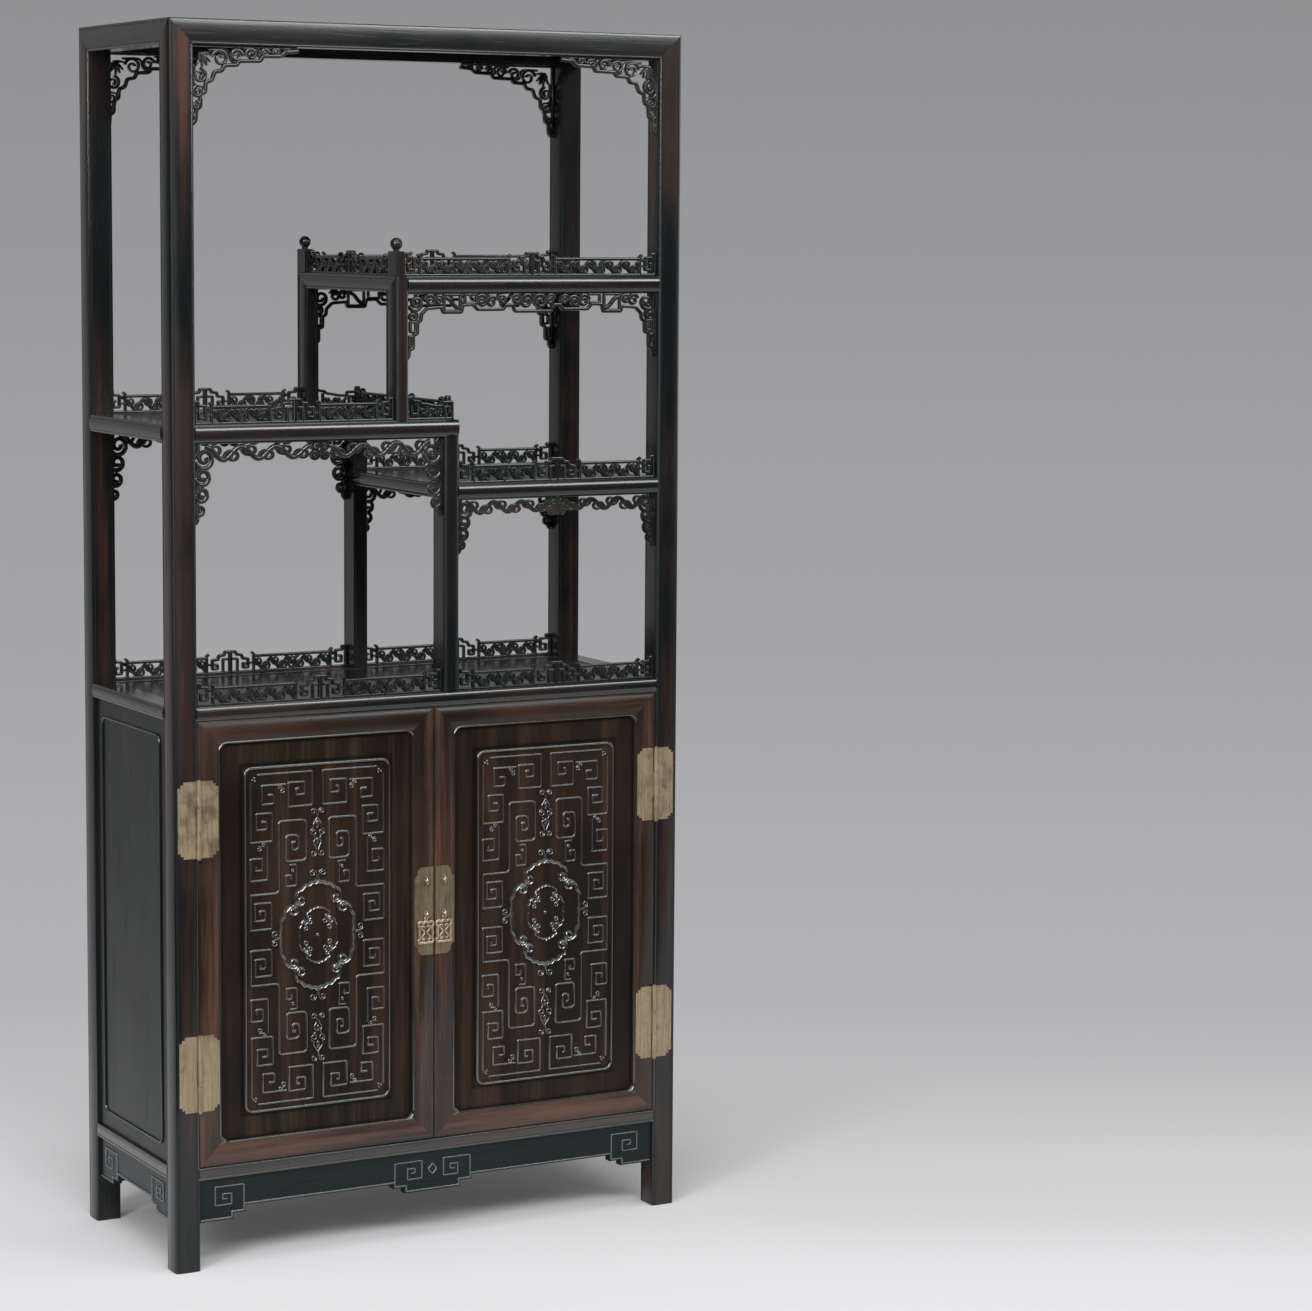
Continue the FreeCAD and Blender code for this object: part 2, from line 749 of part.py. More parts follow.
def cupboard_panels():
    """The two cupboard sides and the plain back."""
    bordered_panel("side_panel_left", LEFT, 1)
    bordered_panel("side_panel_right", RIGHT, -1)
    outer = BACK - S.side_panel_back
    inner = outer - S.side_panel_thick
    tongue_low = inner + (S.side_panel_thick - S.tongue_thick) / 2
    NODES["back_panel"] = tongued_board("back_panel", [POST_LEFT, inner, S.base_top],
                                        [POST_RIGHT, outer, DECK_UNDER], 1, tongue_low,
                                        tongue_low + S.tongue_thick, S.tongue_deep)


def corner_posts():
    """Four posts from the floor to the top, mortised for every rail and panel they hold."""
    levels = {"left": ("middle", "deck", "base"), "right": ("upper", "lower", "deck", "base")}
    for where, side, outer, x, y, turn in (
        ("front", "left", "high", POST_LEFT, FRONT, 0),
        ("front", "right", "low", RIGHT, FRONT, 0),
        ("back", "left", "low", LEFT, BACK, 180),
        ("back", "right", "high", POST_RIGHT, BACK, 180),
    ):
        name = f"post_{where}_{side}"
        post = bar(f"{name}_stock", S.height, S.post_side, S.post_side, None, S.post_side, outer)
        place(post, x, y, ZERO, upright(turn))
        held = [f"{level}_{way}" for level in levels[side] for way in (where, side)]
        tools = entering(*held) + [NODES[f"side_panel_{side}"]]
        if where == "back":
            tools.append(NODES["back_panel"])
        NODES[name] = cut(name, post, grouped(f"{name}_tools", tools))


def inner_shelf():
    """A loose shelf inside the cupboard, on a bearer along each side."""
    under = S.inner_shelf_level
    front = FRONT + S.inner_shelf_front_gap
    back = BACK - S.side_panel_back - S.side_panel_thick - S.slide_gap
    left = POST_LEFT + S.slide_gap
    wide = BAY_WIDE - S.slide_gap * 2
    NODES["inner_shelf"] = block("inner_shelf", left, front, under, wide, back - front,
                                 S.inner_shelf_thick)
    inset = S.side_panel_back + S.side_panel_thick
    reach = S.post_side - inset + S.bearer_side
    bearers = [
        block(f"bearer_{side}", x, POST_FRONT, under - S.bearer_side, reach, BAY_DEEP,
              S.bearer_side)
        for side, x in (("left", LEFT + inset), ("right", RIGHT - inset - reach))
    ]
    NODES["inner_shelf_bearers"] = grouped("inner_shelf_bearers", bearers)


DOOR_WIDE = (BAY_WIDE - S.door_gap * 2 - S.meeting_gap) / 2
DOOR_UNDER = S.base_top + S.door_gap
DOOR_TOP = DECK_UNDER - S.door_gap
DOOR_SPANS = {
    "left": (POST_LEFT + S.door_gap, POST_LEFT + S.door_gap + DOOR_WIDE),
    "right": (POST_RIGHT - S.door_gap - DOOR_WIDE, POST_RIGHT - S.door_gap),
}
HINGE_LINES = {"left": POST_LEFT + S.door_gap / 2, "right": POST_RIGHT - S.door_gap / 2}
HINGE_DEEP = FRONT - S.knuckle_radius


def door_member(name, length):
    """One member of a door's frame along X, with plain mitres in its face at both ends."""
    wide = S.door_member_wide
    body = doc.addObject("PartDesign::Body", name)
    section = new_sketch(body, f"{name}_section", "YZ_Plane")
    bar_outline(section, wide, S.door_thick, None, False)
    pad(body, f"{name}_stock", section, length)
    ends = new_sketch(body, f"{name}_mitres", "XZ_Plane")
    outline(ends, [(ZERO, wide), (wide, wide), (ZERO, ZERO)][::-1])
    outline(ends, [(length, ZERO), (length, wide), (length - wide, wide)])
    pocket(body, f"{name}_mitre_cut", ends)
    return body


def door(side):
    """A door: a mitred frame round a floating panel with a raised, beaded tablet."""
    low, high = DOOR_SPANS[side]
    tall = DOOR_TOP - DOOR_UNDER
    name = f"{side}_door"
    members = []
    for part_name, length, x, z, tilt in (
        ("bottom", DOOR_WIDE, low, DOOR_UNDER, 0),
        ("hanging", tall, high, DOOR_UNDER, -90),
        ("top", DOOR_WIDE, high, DOOR_TOP, 180),
        ("meeting", tall, low, DOOR_TOP, 90),
    ):
        member = door_member(f"{name}_{part_name}", length)
        turn = FreeCAD.Rotation(AXIS_Y, tilt)
        members.append(place(member, x, FRONT, z, turn))
    wide = S.door_member_wide
    face = FRONT + S.door_panel_back
    back = face + S.door_panel_thick
    tongue_low = face + (S.door_panel_thick - S.door_tongue_thick) / 2
    lows = [low + wide, face, DOOR_UNDER + wide]
    highs = [high - wide, back, DOOR_TOP - wide]
    board = tongued_board(f"{name}_board", lows, highs, 1, tongue_low,
                          tongue_low + S.door_tongue_thick, S.door_tongue_deep)
    tablet = door_tablet(name, lows, highs)
    NODES[f"{name}_panel"] = joined(f"{name}_panel", [board] + tablet)
    NODES[f"{name}_frame"] = cut(f"{name}_frame", grouped(f"{name}_members", members), board)


def door_tablet(name, lows, highs):
    """The raised field of a door panel and the bead round it, with rounded corners."""
    inset = S.tablet_inset
    bead = S.tablet_bead_wide
    pieces = []
    for part_name, rise, ring in (("field", S.tablet_field_rise, False),
                                  ("bead", S.tablet_rise, True)):
        body = doc.addObject("PartDesign::Body", f"{name}_{part_name}")
        sketch = new_sketch(body, f"{name}_{part_name}_line", "XZ_Plane")
        box = (lows[0] + inset, lows[2] + inset, highs[0] - inset, highs[2] - inset)
        outline(sketch, *rounded(*box, S.tablet_radius))
        if ring:
            box = (box[0] + bead, box[1] + bead, box[2] - bead, box[3] - bead)
            outline(sketch, *rounded(*box, S.tablet_radius - bead))
        pad(body, f"{name}_{part_name}_pad", sketch, rise)
        pieces.append(place(body, ZERO, lows[1], ZERO))
    return pieces


def plate(name, x, z, sign, points):
    """A thin brass plate on the front face, from points measured out from x and z."""
    body = doc.addObject("PartDesign::Body", name)
    sketch = new_sketch(body, f"{name}_line", "XZ_Plane")
    outline(sketch, [(x + across * sign, z + up) for across, up in points])
    pad(body, f"{name}_pad", sketch, S.plate_thick)
    return place(body, ZERO, FRONT, ZERO)


def hinge_leaf(name, axis, under, sign, thirds):
    """A hinge leaf with the knuckles that it carries.

    sign says which way the leaf reaches from the pin; thirds are the numbers of its
    knuckles, of three up the hinge.
    """
    clear = S.knuckle_radius + S.knuckle_gap
    edge, notch, tall = S.hinge_leaf_wide, S.hinge_notch, S.hinge_tall
    half = notch / 2
    points = [
        (clear, ZERO), (edge - notch, ZERO), (edge - notch, half), (edge - half, half),
        (edge - half, notch), (edge, notch), (edge, tall - notch), (edge - half, tall - notch),
        (edge - half, tall - half), (edge - notch, tall - half), (edge - notch, tall),
        (clear, tall),
    ]
    pieces = [plate(f"{name}_plate", axis, under, sign, points)]
    third = tall / 3
    holes = []
    for number in thirds:
        low = under + third * number + (S.knuckle_gap / 2 if number else ZERO)
        size = third - S.knuckle_gap / 2 * (2 if number == 1 else 1)
        pieces.append(rod(f"{name}_knuckle_{number}", axis, HINGE_DEEP, low,
                          S.knuckle_radius, size))
        start = axis if sign > 0 else axis - clear
        pieces.append(block(f"{name}_tab_{number}", start, FRONT - S.plate_thick, low, clear,
                            S.plate_thick, size))
        holes.append(rod(f"{name}_hole_{number}", axis, HINGE_DEEP, low - S.overrun,
                         S.pin_radius + S.pin_gap, size + S.overrun * 2))
    return cut(name, joined(f"{name}_solid", pieces), grouped(f"{name}_holes", holes))


def hinge_pin(name, axis, under):
    """A hinge pin with a small head at each end, seated on the knuckles."""
    pieces = [
        rod(f"{name}_shank", axis, HINGE_DEEP, under, S.pin_radius, S.hinge_tall),
        rod(f"{name}_foot", axis, HINGE_DEEP, under - S.pin_head_tall, S.pin_head_radius,
            S.pin_head_tall),
        rod(f"{name}_head", axis, HINGE_DEEP, under + S.hinge_tall, S.pin_head_radius,
            S.pin_head_tall),
    ]
    return joined(name, pieces)


def hinges(side):
    """Both hinges of one door: post leaves, door leaves and pins."""
    axis = HINGE_LINES[side]
    outward = -1 if side == "left" else 1
    post_leaves, door_leaves, pins = [], [], []
    for where, level in (("upper", S.hinge_upper_level), ("lower", S.hinge_lower_level)):
        under = level - S.hinge_tall / 2
        name = f"{side}_{where}"
        post_leaves.append(hinge_leaf(f"{name}_post_leaf", axis, under, outward, (0, 2)))
        door_leaves.append(hinge_leaf(f"{name}_door_leaf", axis, under, -outward, (1,)))
        pins.append(hinge_pin(f"{name}_pin", axis, under))
    for label, pieces in (("post_hinge_leaves", post_leaves), ("door_hinge_leaves", door_leaves),
                          ("hinge_pins", pins)):
        NODES[f"{side}_{label}"] = grouped(f"{side}_{label}", pieces)


def ring(name, x, level):
    """A wire loop that stands out from a lock plate, cut off at the plate's face."""
    face = FRONT - S.plate_thick
    loop = doc.addObject("Part::Torus", f"{name}_loop")
    bind(loop, Radius1=S.ring_radius, Radius2=S.ring_wire)
    place(loop, x, face - S.ring_stand, level, FreeCAD.Rotation(AXIS_Y, 90))
    size = (S.ring_radius + S.ring_wire) * 2
    behind = block(f"{name}_behind", x - size / 2, face, level - size / 2, size, size, size)
    return cut(name, loop, behind)


def lock_set(side):
    """Half a lock plate, its staple and pull loop, and the hanging pull."""
    low, high = DOOR_SPANS[side]
    edge, sign = (high, -1) if side == "left" else (low, 1)
    start = edge + S.lock_plate_edge_gap * sign
    under = S.lock_plate_level - S.lock_plate_tall / 2
    wide, tall, notch = S.lock_plate_wide, S.lock_plate_tall, S.lock_plate_notch
    half = notch / 2
    points = [
        (ZERO, ZERO), (wide - notch, ZERO), (wide - half, half), (wide - half, notch),
        (wide, notch + half), (wide, tall - notch - half), (wide - half, tall - notch),
        (wide - half, tall - half), (wide - notch, tall), (ZERO, tall),
    ]
    NODES[f"{side}_lock_plate"] = plate(f"{side}_lock_plate", start, under, sign, points)
    x = edge + S.ring_from_edge * sign
    loops = [ring(f"{side}_staple", x, S.staple_level), ring(f"{side}_pull_loop", x, S.eye_level)]
    NODES[f"{side}_staples"] = grouped(f"{side}_staples", loops)
    NODES[f"{side}_pull"] = pull(side, x)


# half outline of a pull from the loop's hole down, across in half widths, down in pull heights
PULL_OUTLINE_SHARES = (
    (0.26, -0.09), (0.30, 0.10), (0.62, 0.16), (0.66, 0.26), (1.00, 0.36), (1.00, 0.58),
    (0.80, 0.66), (0.80, 0.78), (0.42, 0.86), (0.0, 1.0),
)
PULL_WINDOW_LEVEL_SHARE = 0.46
PULL_WINDOW_ACROSS_SHARE = 0.5


def pull(side, x):
    """A flat openwork pull that hangs on its loop by a round hole."""
    level = S.eye_level - S.ring_radius
    body = doc.addObject("PartDesign::Body", f"{side}_pull_plate")
    sketch = new_sketch(body, f"{side}_pull_line", "XZ_Plane")
    half = S.pull_wide / 2
    right = [(x + half * across, level - S.pull_tall * down)
             for across, down in PULL_OUTLINE_SHARES]
    left = [(x - half * across, level - S.pull_tall * down)
            for across, down in PULL_OUTLINE_SHARES if across]
    outline(sketch, left + right[::-1])
    window_z = level - S.pull_tall * PULL_WINDOW_LEVEL_SHARE
    for sign in (-1, 1):
        window_x = x + half * (PULL_WINDOW_ACROSS_SHARE * sign)
        small = S.pull_window / 2
        outline(sketch, rectangle(window_x - small, window_z - small,
                                  window_x + small, window_z + small))
    pad(body, f"{side}_pull_pad", sketch, S.pull_thick)
    middle = FRONT - S.plate_thick - S.ring_stand
    place(body, ZERO, middle + S.pull_thick / 2, ZERO)
    hole = rod(f"{side}_pull_hole", x, middle + S.overrun, level, S.ring_wire + S.pull_hole_gap,
               S.overrun * 2, FreeCAD.Rotation(AXIS_X, 90))
    return cut(f"{side}_pull", body, hole)


# Half outlines of the carved strips. Each point is (distance from the end, height) in
# shares of the strip's own height; the points of the middle count back from the centre.
GALLERY_END_SHARES = (
    (0.0, 1.25), (0.25, 1.25), (0.55, 1.05), (0.95, 0.8), (0.95, 0.5), (1.35, 0.5),
    (1.35, 1.0), (1.5, 1.0), (1.5, 0.85),
)
GALLERY_MIDDLE_SHARES = (
    (1.5, 0.85), (1.5, 1.0), (1.35, 1.0), (1.35, 0.5), (0.95, 0.5), (0.95, 0.8),
    (0.55, 1.05), (0.25, 1.25), (0.0, 1.25),
)
GALLERY_HOLE_SHARES = ((0.5, 0.5, 0.14, 0.24), (1.15, 0.32, 0.14, 0.1))
GALLERY_ROW_SHARES = (0.8, 0.48, 0.24, 0.2)
GALLERY_SHORTEST_SHARE = 3.2
GALLERY_CENTRED_SHARE = 7.0
UPPER_APRON_END_SHARES = (
    (0.0, -1.0), (0.12, -1.0), (0.2, -0.86), (0.2, -0.66), (0.34, -0.6), (0.34, -0.42),
    (0.62, -0.42), (0.62, -0.3), (0.95, -0.3), (0.95, -0.2),
)
UPPER_APRON_MIDDLE_SHARES = ((0.75, -0.2), (0.6, -0.32), (0.0, -0.36))
MIDDLE_APRON_END_SHARES = (
    (0.0, -1.0), (0.1, -1.0), (0.2, -0.8), (0.16, -0.62), (0.28, -0.5), (0.24, -0.36),
    (0.6, -0.34), (0.9, -0.22),
)
MIDDLE_APRON_MIDDLE_SHARES = ((0.6, -0.2), (0.4, -0.28), (0.0, -0.3))
LOWER_APRON_END_SHARES = (
    (0.0, -1.0), (0.14, -1.0), (0.26, -0.8), (0.2, -0.62), (0.36, -0.5), (0.34, -0.42),
    (0.8, -0.4), (1.1, -0.27),
)
LOWER_APRON_MIDDLE_SHARES = ((0.8, -0.25), (0.5, -0.4), (0.0, -0.42))
APRON_HOLE_SHARES = (
    (0.1, -0.28, 0.05, 0.07), (0.1, -0.5, 0.05, 0.06), (0.1, -0.72, 0.045, 0.06),
    (0.28, -0.2, 0.06, 0.07), (0.5, -0.16, 0.07, 0.06),
)
APRON_SHORTEST_SHARE = 3.2
APRON_ROW_SHARES = (0.28, -0.11, 0.08, 0.045)
BRACKET_SHARES = (
    (1.0, 0.0), (1.0, -0.1), (0.7, -0.18), (0.42, -0.24), (0.3, -0.4), (0.18, -0.5),
    (0.14, -0.78), (0.07, -1.0), (0.0, -1.0), (0.0, 0.0),
)
BRACKET_HOLE_SHARES = (
    (0.08, -0.25, 0.03, 0.07), (0.06, -0.6, 0.025, 0.08), (0.22, -0.15, 0.05, 0.05),
    (0.4, -0.11, 0.05, 0.045), (0.6, -0.08, 0.05, 0.035),
)
SKIRT_END_SHARES = ((0.0, -1.4), (1.2, -1.4), (1.2, -1.21), (1.61, -1.21), (1.61, -1.0))
SKIRT_MIDDLE_SHARES = ((1.44, -1.0), (1.44, -1.15), (1.02, -1.15), (1.02, -1.35), (0.0, -1.35))


def mirrored_outline(length, across_unit, up_unit, end_shares, middle_shares, base):
    """Both halves of a strip's outline, from its base line round and back."""
    half = [(across_unit * across, up_unit * up) for across, up in end_shares]
    half += [(length / 2 - across_unit * across, up_unit * up) for across, up in middle_shares]
    other = [(length - across, up) for across, up in half if across != length / 2]
    return [(0.0, base)] + half + other[::-1] + [(length, base)]


def hole_outline(x, z, half_wide, half_tall):
    """An eight-sided hole, wider and taller than it is cornered."""
    flat = half_wide / 2
    stand = half_tall / 2
    return [
        (x - half_wide, z - stand), (x - flat, z - half_tall), (x + flat, z - half_tall),
        (x + half_wide, z - stand), (x + half_wide, z + stand), (x + flat, z + half_tall),
        (x - flat, z + half_tall), (x - half_wide, z + stand),
    ]


def face_wire(points):
    """A closed wire in the XZ plane."""
    corners = [VECTOR(x, 0, z) for x, z in points]
    return Part.makePolygon(corners + corners[:1])


def board_shape(points, holes, thick, flip=False):
    """A flat pierced board: an outline less its holes, as thick as given along Y."""
    if flip:
        points = [(-x, z) for x, z in points]
        holes = [[(-x, z) for x, z in hole] for hole in holes]
    wires = [face_wire(points)] + [face_wire(hole) for hole in holes]
    face = Part.makeFace(wires, "Part::FaceMakerBullseye")
    return face.extrude(VECTOR(0, thick, 0))


def fret(name, shape, x, y, z, turn=None):
    """A pierced board as an object of the document, at its place."""
    item = doc.addObject("Part::Feature", name)
    item.Shape = shape
    return place(item, x, y, z, turn)


def row_holes(first, last, across_unit, up_unit, shares):
    """A row of holes between two places; shares are pitch, level and half sizes."""
    pitch, level, half_wide, half_tall = shares
    room = last - first
    count = max(0, int(room / (pitch * across_unit)))
    holes = []
    for number in range(count):
        x = first + room * (number + 0.5) / count
        holes.append(hole_outline(x, level * up_unit, half_wide * across_unit,
                                  half_tall * up_unit))
    return holes


def paired_holes(length, across_unit, up_unit, shares, from_centre=False):
    """Holes given for one end, repeated at the other, or both sides of the centre."""
    holes = []
    for across, up, half_wide, half_tall in shares:
        offset = across * across_unit
        places = (offset, length - offset)
        if from_centre:
            places = (length / 2 - offset, length / 2 + offset)
        for x in places:
            holes.append(hole_outline(x, up * up_unit, half_wide * across_unit,
                                      half_tall * up_unit))
    return holes


def gallery_shape(length):
    """A low gallery: half an arch at each end, pierced panels, and an arch in the middle."""
    length = float(length)
    tall = float(S.gallery_tall)
    unit = min(tall, length / GALLERY_SHORTEST_SHARE)
    centred = length > GALLERY_CENTRED_SHARE * tall
    middle = GALLERY_MIDDLE_SHARES if centred else ()
    points = mirrored_outline(length, unit, tall, GALLERY_END_SHARES, middle, 0.0)
    holes = paired_holes(length, unit, tall, GALLERY_HOLE_SHARES)
    start = GALLERY_END_SHARES[-1][0] * unit
    if centred:
        holes += paired_holes(length, unit, tall, GALLERY_HOLE_SHARES, True)
        stop = length / 2 - start
        holes += row_holes(start, stop, unit, tall, GALLERY_ROW_SHARES)
        holes += row_holes(length - stop, length - start, unit, tall, GALLERY_ROW_SHARES)
    else:
        holes += row_holes(start, length - start, unit, tall, GALLERY_ROW_SHARES)
    return board_shape(points, holes, float(S.fret_thick))


def gallery_pair(prefix, shelf_top, spans):
    """The front and the back gallery of one shelf, each a board for every span."""
    rows = {"front": FRONT + S.fret_setback, "back": BACK - S.fret_setback - S.fret_thick}
    for where, y in rows.items():
        boards = [
            fret(f"{prefix}_{where}_{number}", gallery_shape(high - low), low, y, shelf_top)
            for number, (low, high) in enumerate(spans)
        ]
        name = f"{prefix}_{where}"
        NODES[name] = grouped(name, boards) if len(boards) > 1 else boards[0]


def galleries():
    """Every gallery, the two side galleries, and the newels of the upper shelf."""
    newel_right = UPPER_STEP_LEFT + S.newel_wide
    gallery_pair("upper_gallery", UPPER_TOP, [(newel_right, POST_RIGHT)])
    step_end = LOWER_STEP_RIGHT - S.fret_setback
    gallery_pair("middle_gallery", MIDDLE_TOP,
                 [(POST_LEFT, UPPER_STEP_LEFT), (UPPER_STEP_RIGHT, step_end)])
    gallery_pair("lower_gallery", LOWER_TOP, [(LOWER_STEP_RIGHT, POST_RIGHT)])
    gallery_pair("deck_gallery", S.deck_top,
                 [(POST_LEFT, LOWER_STEP_LEFT), (LOWER_STEP_RIGHT, POST_RIGHT)])
    near, far = FRONT + S.newel_deep, BACK - S.newel_deep
    upper_x = UPPER_STEP_LEFT + S.fret_setback + S.fret_thick
    sides = [fret("upper_side_gallery", gallery_shape(far - near), upper_x, near,
                  UPPER_TOP, about_z(90))]
    near = FRONT + S.fret_setback + S.fret_thick
    far = BACK - S.fret_setback - S.fret_thick
    sides.append(fret("middle_side_gallery", gallery_shape(far - near), step_end, near,
                      MIDDLE_TOP, about_z(90)))
    NODES["side_galleries"] = grouped("side_galleries", sides)
    NODES["newels"] = grouped("newels", [newel("front", FRONT),
                                         newel("back", BACK - S.newel_deep)])


def newel(where, y):
    """A small post with a ball on a short neck, at an end of the upper side gallery."""
    foot = UPPER_TOP
    top = foot + S.newel_tall
    post = block(f"newel_{where}_post", UPPER_STEP_LEFT, y, foot, S.newel_wide, S.newel_deep,
                 S.newel_tall)
    x, middle_y = UPPER_STEP_LEFT + S.newel_wide / 2, y + S.newel_deep / 2
    neck = rod(f"newel_{where}_neck", x, middle_y, top, S.newel_neck_radius,
               S.newel_neck_tall + S.newel_ball_radius / 2)
    ball = doc.addObject("Part::Sphere", f"newel_{where}_ball")
    bind(ball, Radius=S.newel_ball_radius)
    place(ball, x, middle_y, top + S.newel_neck_tall + S.newel_ball_radius)
    return joined(f"newel_{where}", [post, neck, ball])


def apron_shape(length, drop, end_shares, middle_shares):
    """A pierced apron that hangs under a rail and drops down both posts."""
    length, drop = float(length), float(drop)
    unit = min(drop, length / APRON_SHORTEST_SHARE)
    points = mirrored_outline(length, unit, drop, end_shares, middle_shares, 0.0)
    holes = paired_holes(length, unit, drop, APRON_HOLE_SHARES)
    last = APRON_HOLE_SHARES[-1]
    start = (last[0] + last[2] + APRON_ROW_SHARES[2]) * unit
    holes += row_holes(start, length - start, unit, drop, APRON_ROW_SHARES)
    return board_shape(points, holes, float(S.fret_thick))


def aprons():
    """The aprons of the three stepped bays and the brackets under the top rails."""
    rows = {"front": FRONT + S.fret_setback, "back": BACK - S.fret_setback - S.fret_thick}
    plans = (
        ("upper", UPPER_STEP_RIGHT, POST_RIGHT, UPPER_UNDER, UPPER_APRON_DROP,
         UPPER_APRON_END_SHARES, UPPER_APRON_MIDDLE_SHARES),
        ("middle", POST_LEFT, LOWER_STEP_LEFT, MIDDLE_UNDER, S.middle_apron_drop,
         MIDDLE_APRON_END_SHARES, MIDDLE_APRON_MIDDLE_SHARES),
        ("lower", LOWER_STEP_RIGHT, POST_RIGHT, LOWER_UNDER, S.lower_apron_drop,
         LOWER_APRON_END_SHARES, LOWER_APRON_MIDDLE_SHARES),
    )
    for where, y in rows.items():
        for level, low, high, under, drop, ends, middle in plans:
            shape = apron_shape(high - low, drop, ends, middle)
            NODES[f"{level}_apron_{where}"] = fret(f"{level}_apron_{where}", shape, low, y, under)
    NODES["top_brackets"] = grouped("top_brackets", [
        fret(f"bracket_{where}_{side}", bracket_shape(side == "right"), x, y, TOP_UNDER)
        for where, y in rows.items() for side, x in (("left", POST_LEFT), ("right", POST_RIGHT))
    ])


def bracket_shape(flip):
    """A pierced corner bracket, longer along the rail than down the post."""
    wide, tall = float(S.bracket_long), float(S.bracket_drop)
    points = [(across * wide, up * tall) for across, up in BRACKET_SHARES]
    holes = [hole_outline(x * wide, z * tall, half_wide * wide, half_tall * tall)
             for x, z, half_wide, half_tall in BRACKET_HOLE_SHARES]
    return board_shape(points, holes, float(S.fret_thick), flip)


def skirts():
    """The skirt boards under the base rails, with stepped scroll ends."""
    band = float(S.skirt_band)
    shapes = {}
    for name, length, middle in (("long", BAY_WIDE, SKIRT_MIDDLE_SHARES),
                                 ("short", BAY_DEEP, ())):
        points = mirrored_outline(float(length), band, band, SKIRT_END_SHARES, middle, 0.0)
        shapes[name] = board_shape(points, [], float(S.skirt_thick))
    inset = S.fret_setback
    thick = S.skirt_thick
    NODES["skirt_front"] = fret("skirt_front", shapes["long"], POST_LEFT, FRONT + inset, BASE_UNDER)
    NODES["skirt_back"] = fret("skirt_back", shapes["long"], POST_LEFT, BACK - inset - thick,
                               BASE_UNDER)
    sides = [
        fret(f"skirt_{side}", shapes["short"], x, POST_FRONT, BASE_UNDER, about_z(90))
        for side, x in (("left", LEFT + inset + thick), ("right", RIGHT - inset))
    ]
    NODES["skirt_sides"] = grouped("skirt_sides", sides)


def build():
    """Make every sub-part in the order in which they rest on each other."""
    step_posts()
    top_frame()
    upper_shelf()
    middle_shelf()
    lower_shelf()
    cupboard_panels()
    deck_and_base()
    corner_posts()
    inner_shelf()
    for side in ("left", "right"):
        door(side)
        hinges(side)
        lock_set(side)
    galleries()
    aprons()
    skirts()


def check_and_export():
    """Recompute, stop on anything that failed, and write one file for each node."""
    doc.recompute()
    for item in doc.Objects:
        if "Invalid" in item.State or "Error" in item.State:
            raise RuntimeError(f"{item.Name} failed: {item.getStatusString()}")
    os.makedirs("parts", exist_ok=True)
    for name, item in NODES.items():
        item.Label = name
        shape = item.Shape
        if shape.isNull() or not shape.isValid():
            raise RuntimeError(f"{name} has no valid shape")
        shape.exportStep(os.path.join("parts", f"{name}.step"))
        print(f"{name}: {len(shape.Solids)} solid(s), {shape.Volume / 1000:.1f} cm3")
    print(f"{len(NODES)} nodes")


build()
check_and_export()
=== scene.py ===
"""The finished looks of a tall display cabinet with stepped shelves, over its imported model."""

import logging
import math
from dataclasses import dataclass
from enum import Enum
from typing import Any, Iterable, Sequence

import bmesh
import bpy
import numpy as np
from mathutils import Matrix, Vector


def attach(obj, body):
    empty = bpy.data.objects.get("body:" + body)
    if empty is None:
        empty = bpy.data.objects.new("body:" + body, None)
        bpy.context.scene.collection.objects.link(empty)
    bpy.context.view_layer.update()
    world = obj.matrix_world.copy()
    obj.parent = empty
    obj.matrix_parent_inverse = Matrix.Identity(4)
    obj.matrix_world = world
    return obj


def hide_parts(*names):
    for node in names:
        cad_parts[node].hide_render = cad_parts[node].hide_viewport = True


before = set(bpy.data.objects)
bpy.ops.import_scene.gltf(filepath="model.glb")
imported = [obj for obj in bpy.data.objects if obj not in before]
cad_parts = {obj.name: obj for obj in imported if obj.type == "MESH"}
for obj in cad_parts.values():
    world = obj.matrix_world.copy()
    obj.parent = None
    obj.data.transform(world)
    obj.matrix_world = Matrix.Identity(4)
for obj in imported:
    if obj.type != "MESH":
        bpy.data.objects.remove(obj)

LOG = logging.getLogger("cabinet")
MM = 0.001
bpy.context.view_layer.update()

Path2 = np.ndarray
Pair = tuple[float, float]
Triple = tuple[float, float, float]
Quad = tuple[float, float, float, float]
Points = tuple[Pair, ...]
Rows = tuple[tuple[float, ...], ...]


# Shader graphs


class Wire:
    """A shader socket that takes part in Python expressions."""

    def __init__(self, graph: "Graph", socket: Any) -> None:
        """Keep the socket and the graph that it belongs to."""
        self.graph = graph
        self.socket = socket

    def __add__(self, other: "Wire | float") -> "Wire":
        """The sum of two values."""
        return self.graph.math("ADD", self, other)

    __radd__ = __add__

    def __sub__(self, other: "Wire | float") -> "Wire":
        """This value less the other."""
        return self.graph.math("SUBTRACT", self, other)

    def __rsub__(self, other: "Wire | float") -> "Wire":
        """The other value less this one."""
        return self.graph.math("SUBTRACT", other, self)

    def __mul__(self, other: "Wire | float") -> "Wire":
        """The product of two values."""
        return self.graph.math("MULTIPLY", self, other)

    __rmul__ = __mul__

    def __abs__(self) -> "Wire":
        """The value without its sign."""
        return self.graph.math("ABSOLUTE", self)

    def __gt__(self, other: "Wire | float") -> "Wire":
        """One where this value is the larger, else zero."""
        return self.graph.math("GREATER_THAN", self, other)


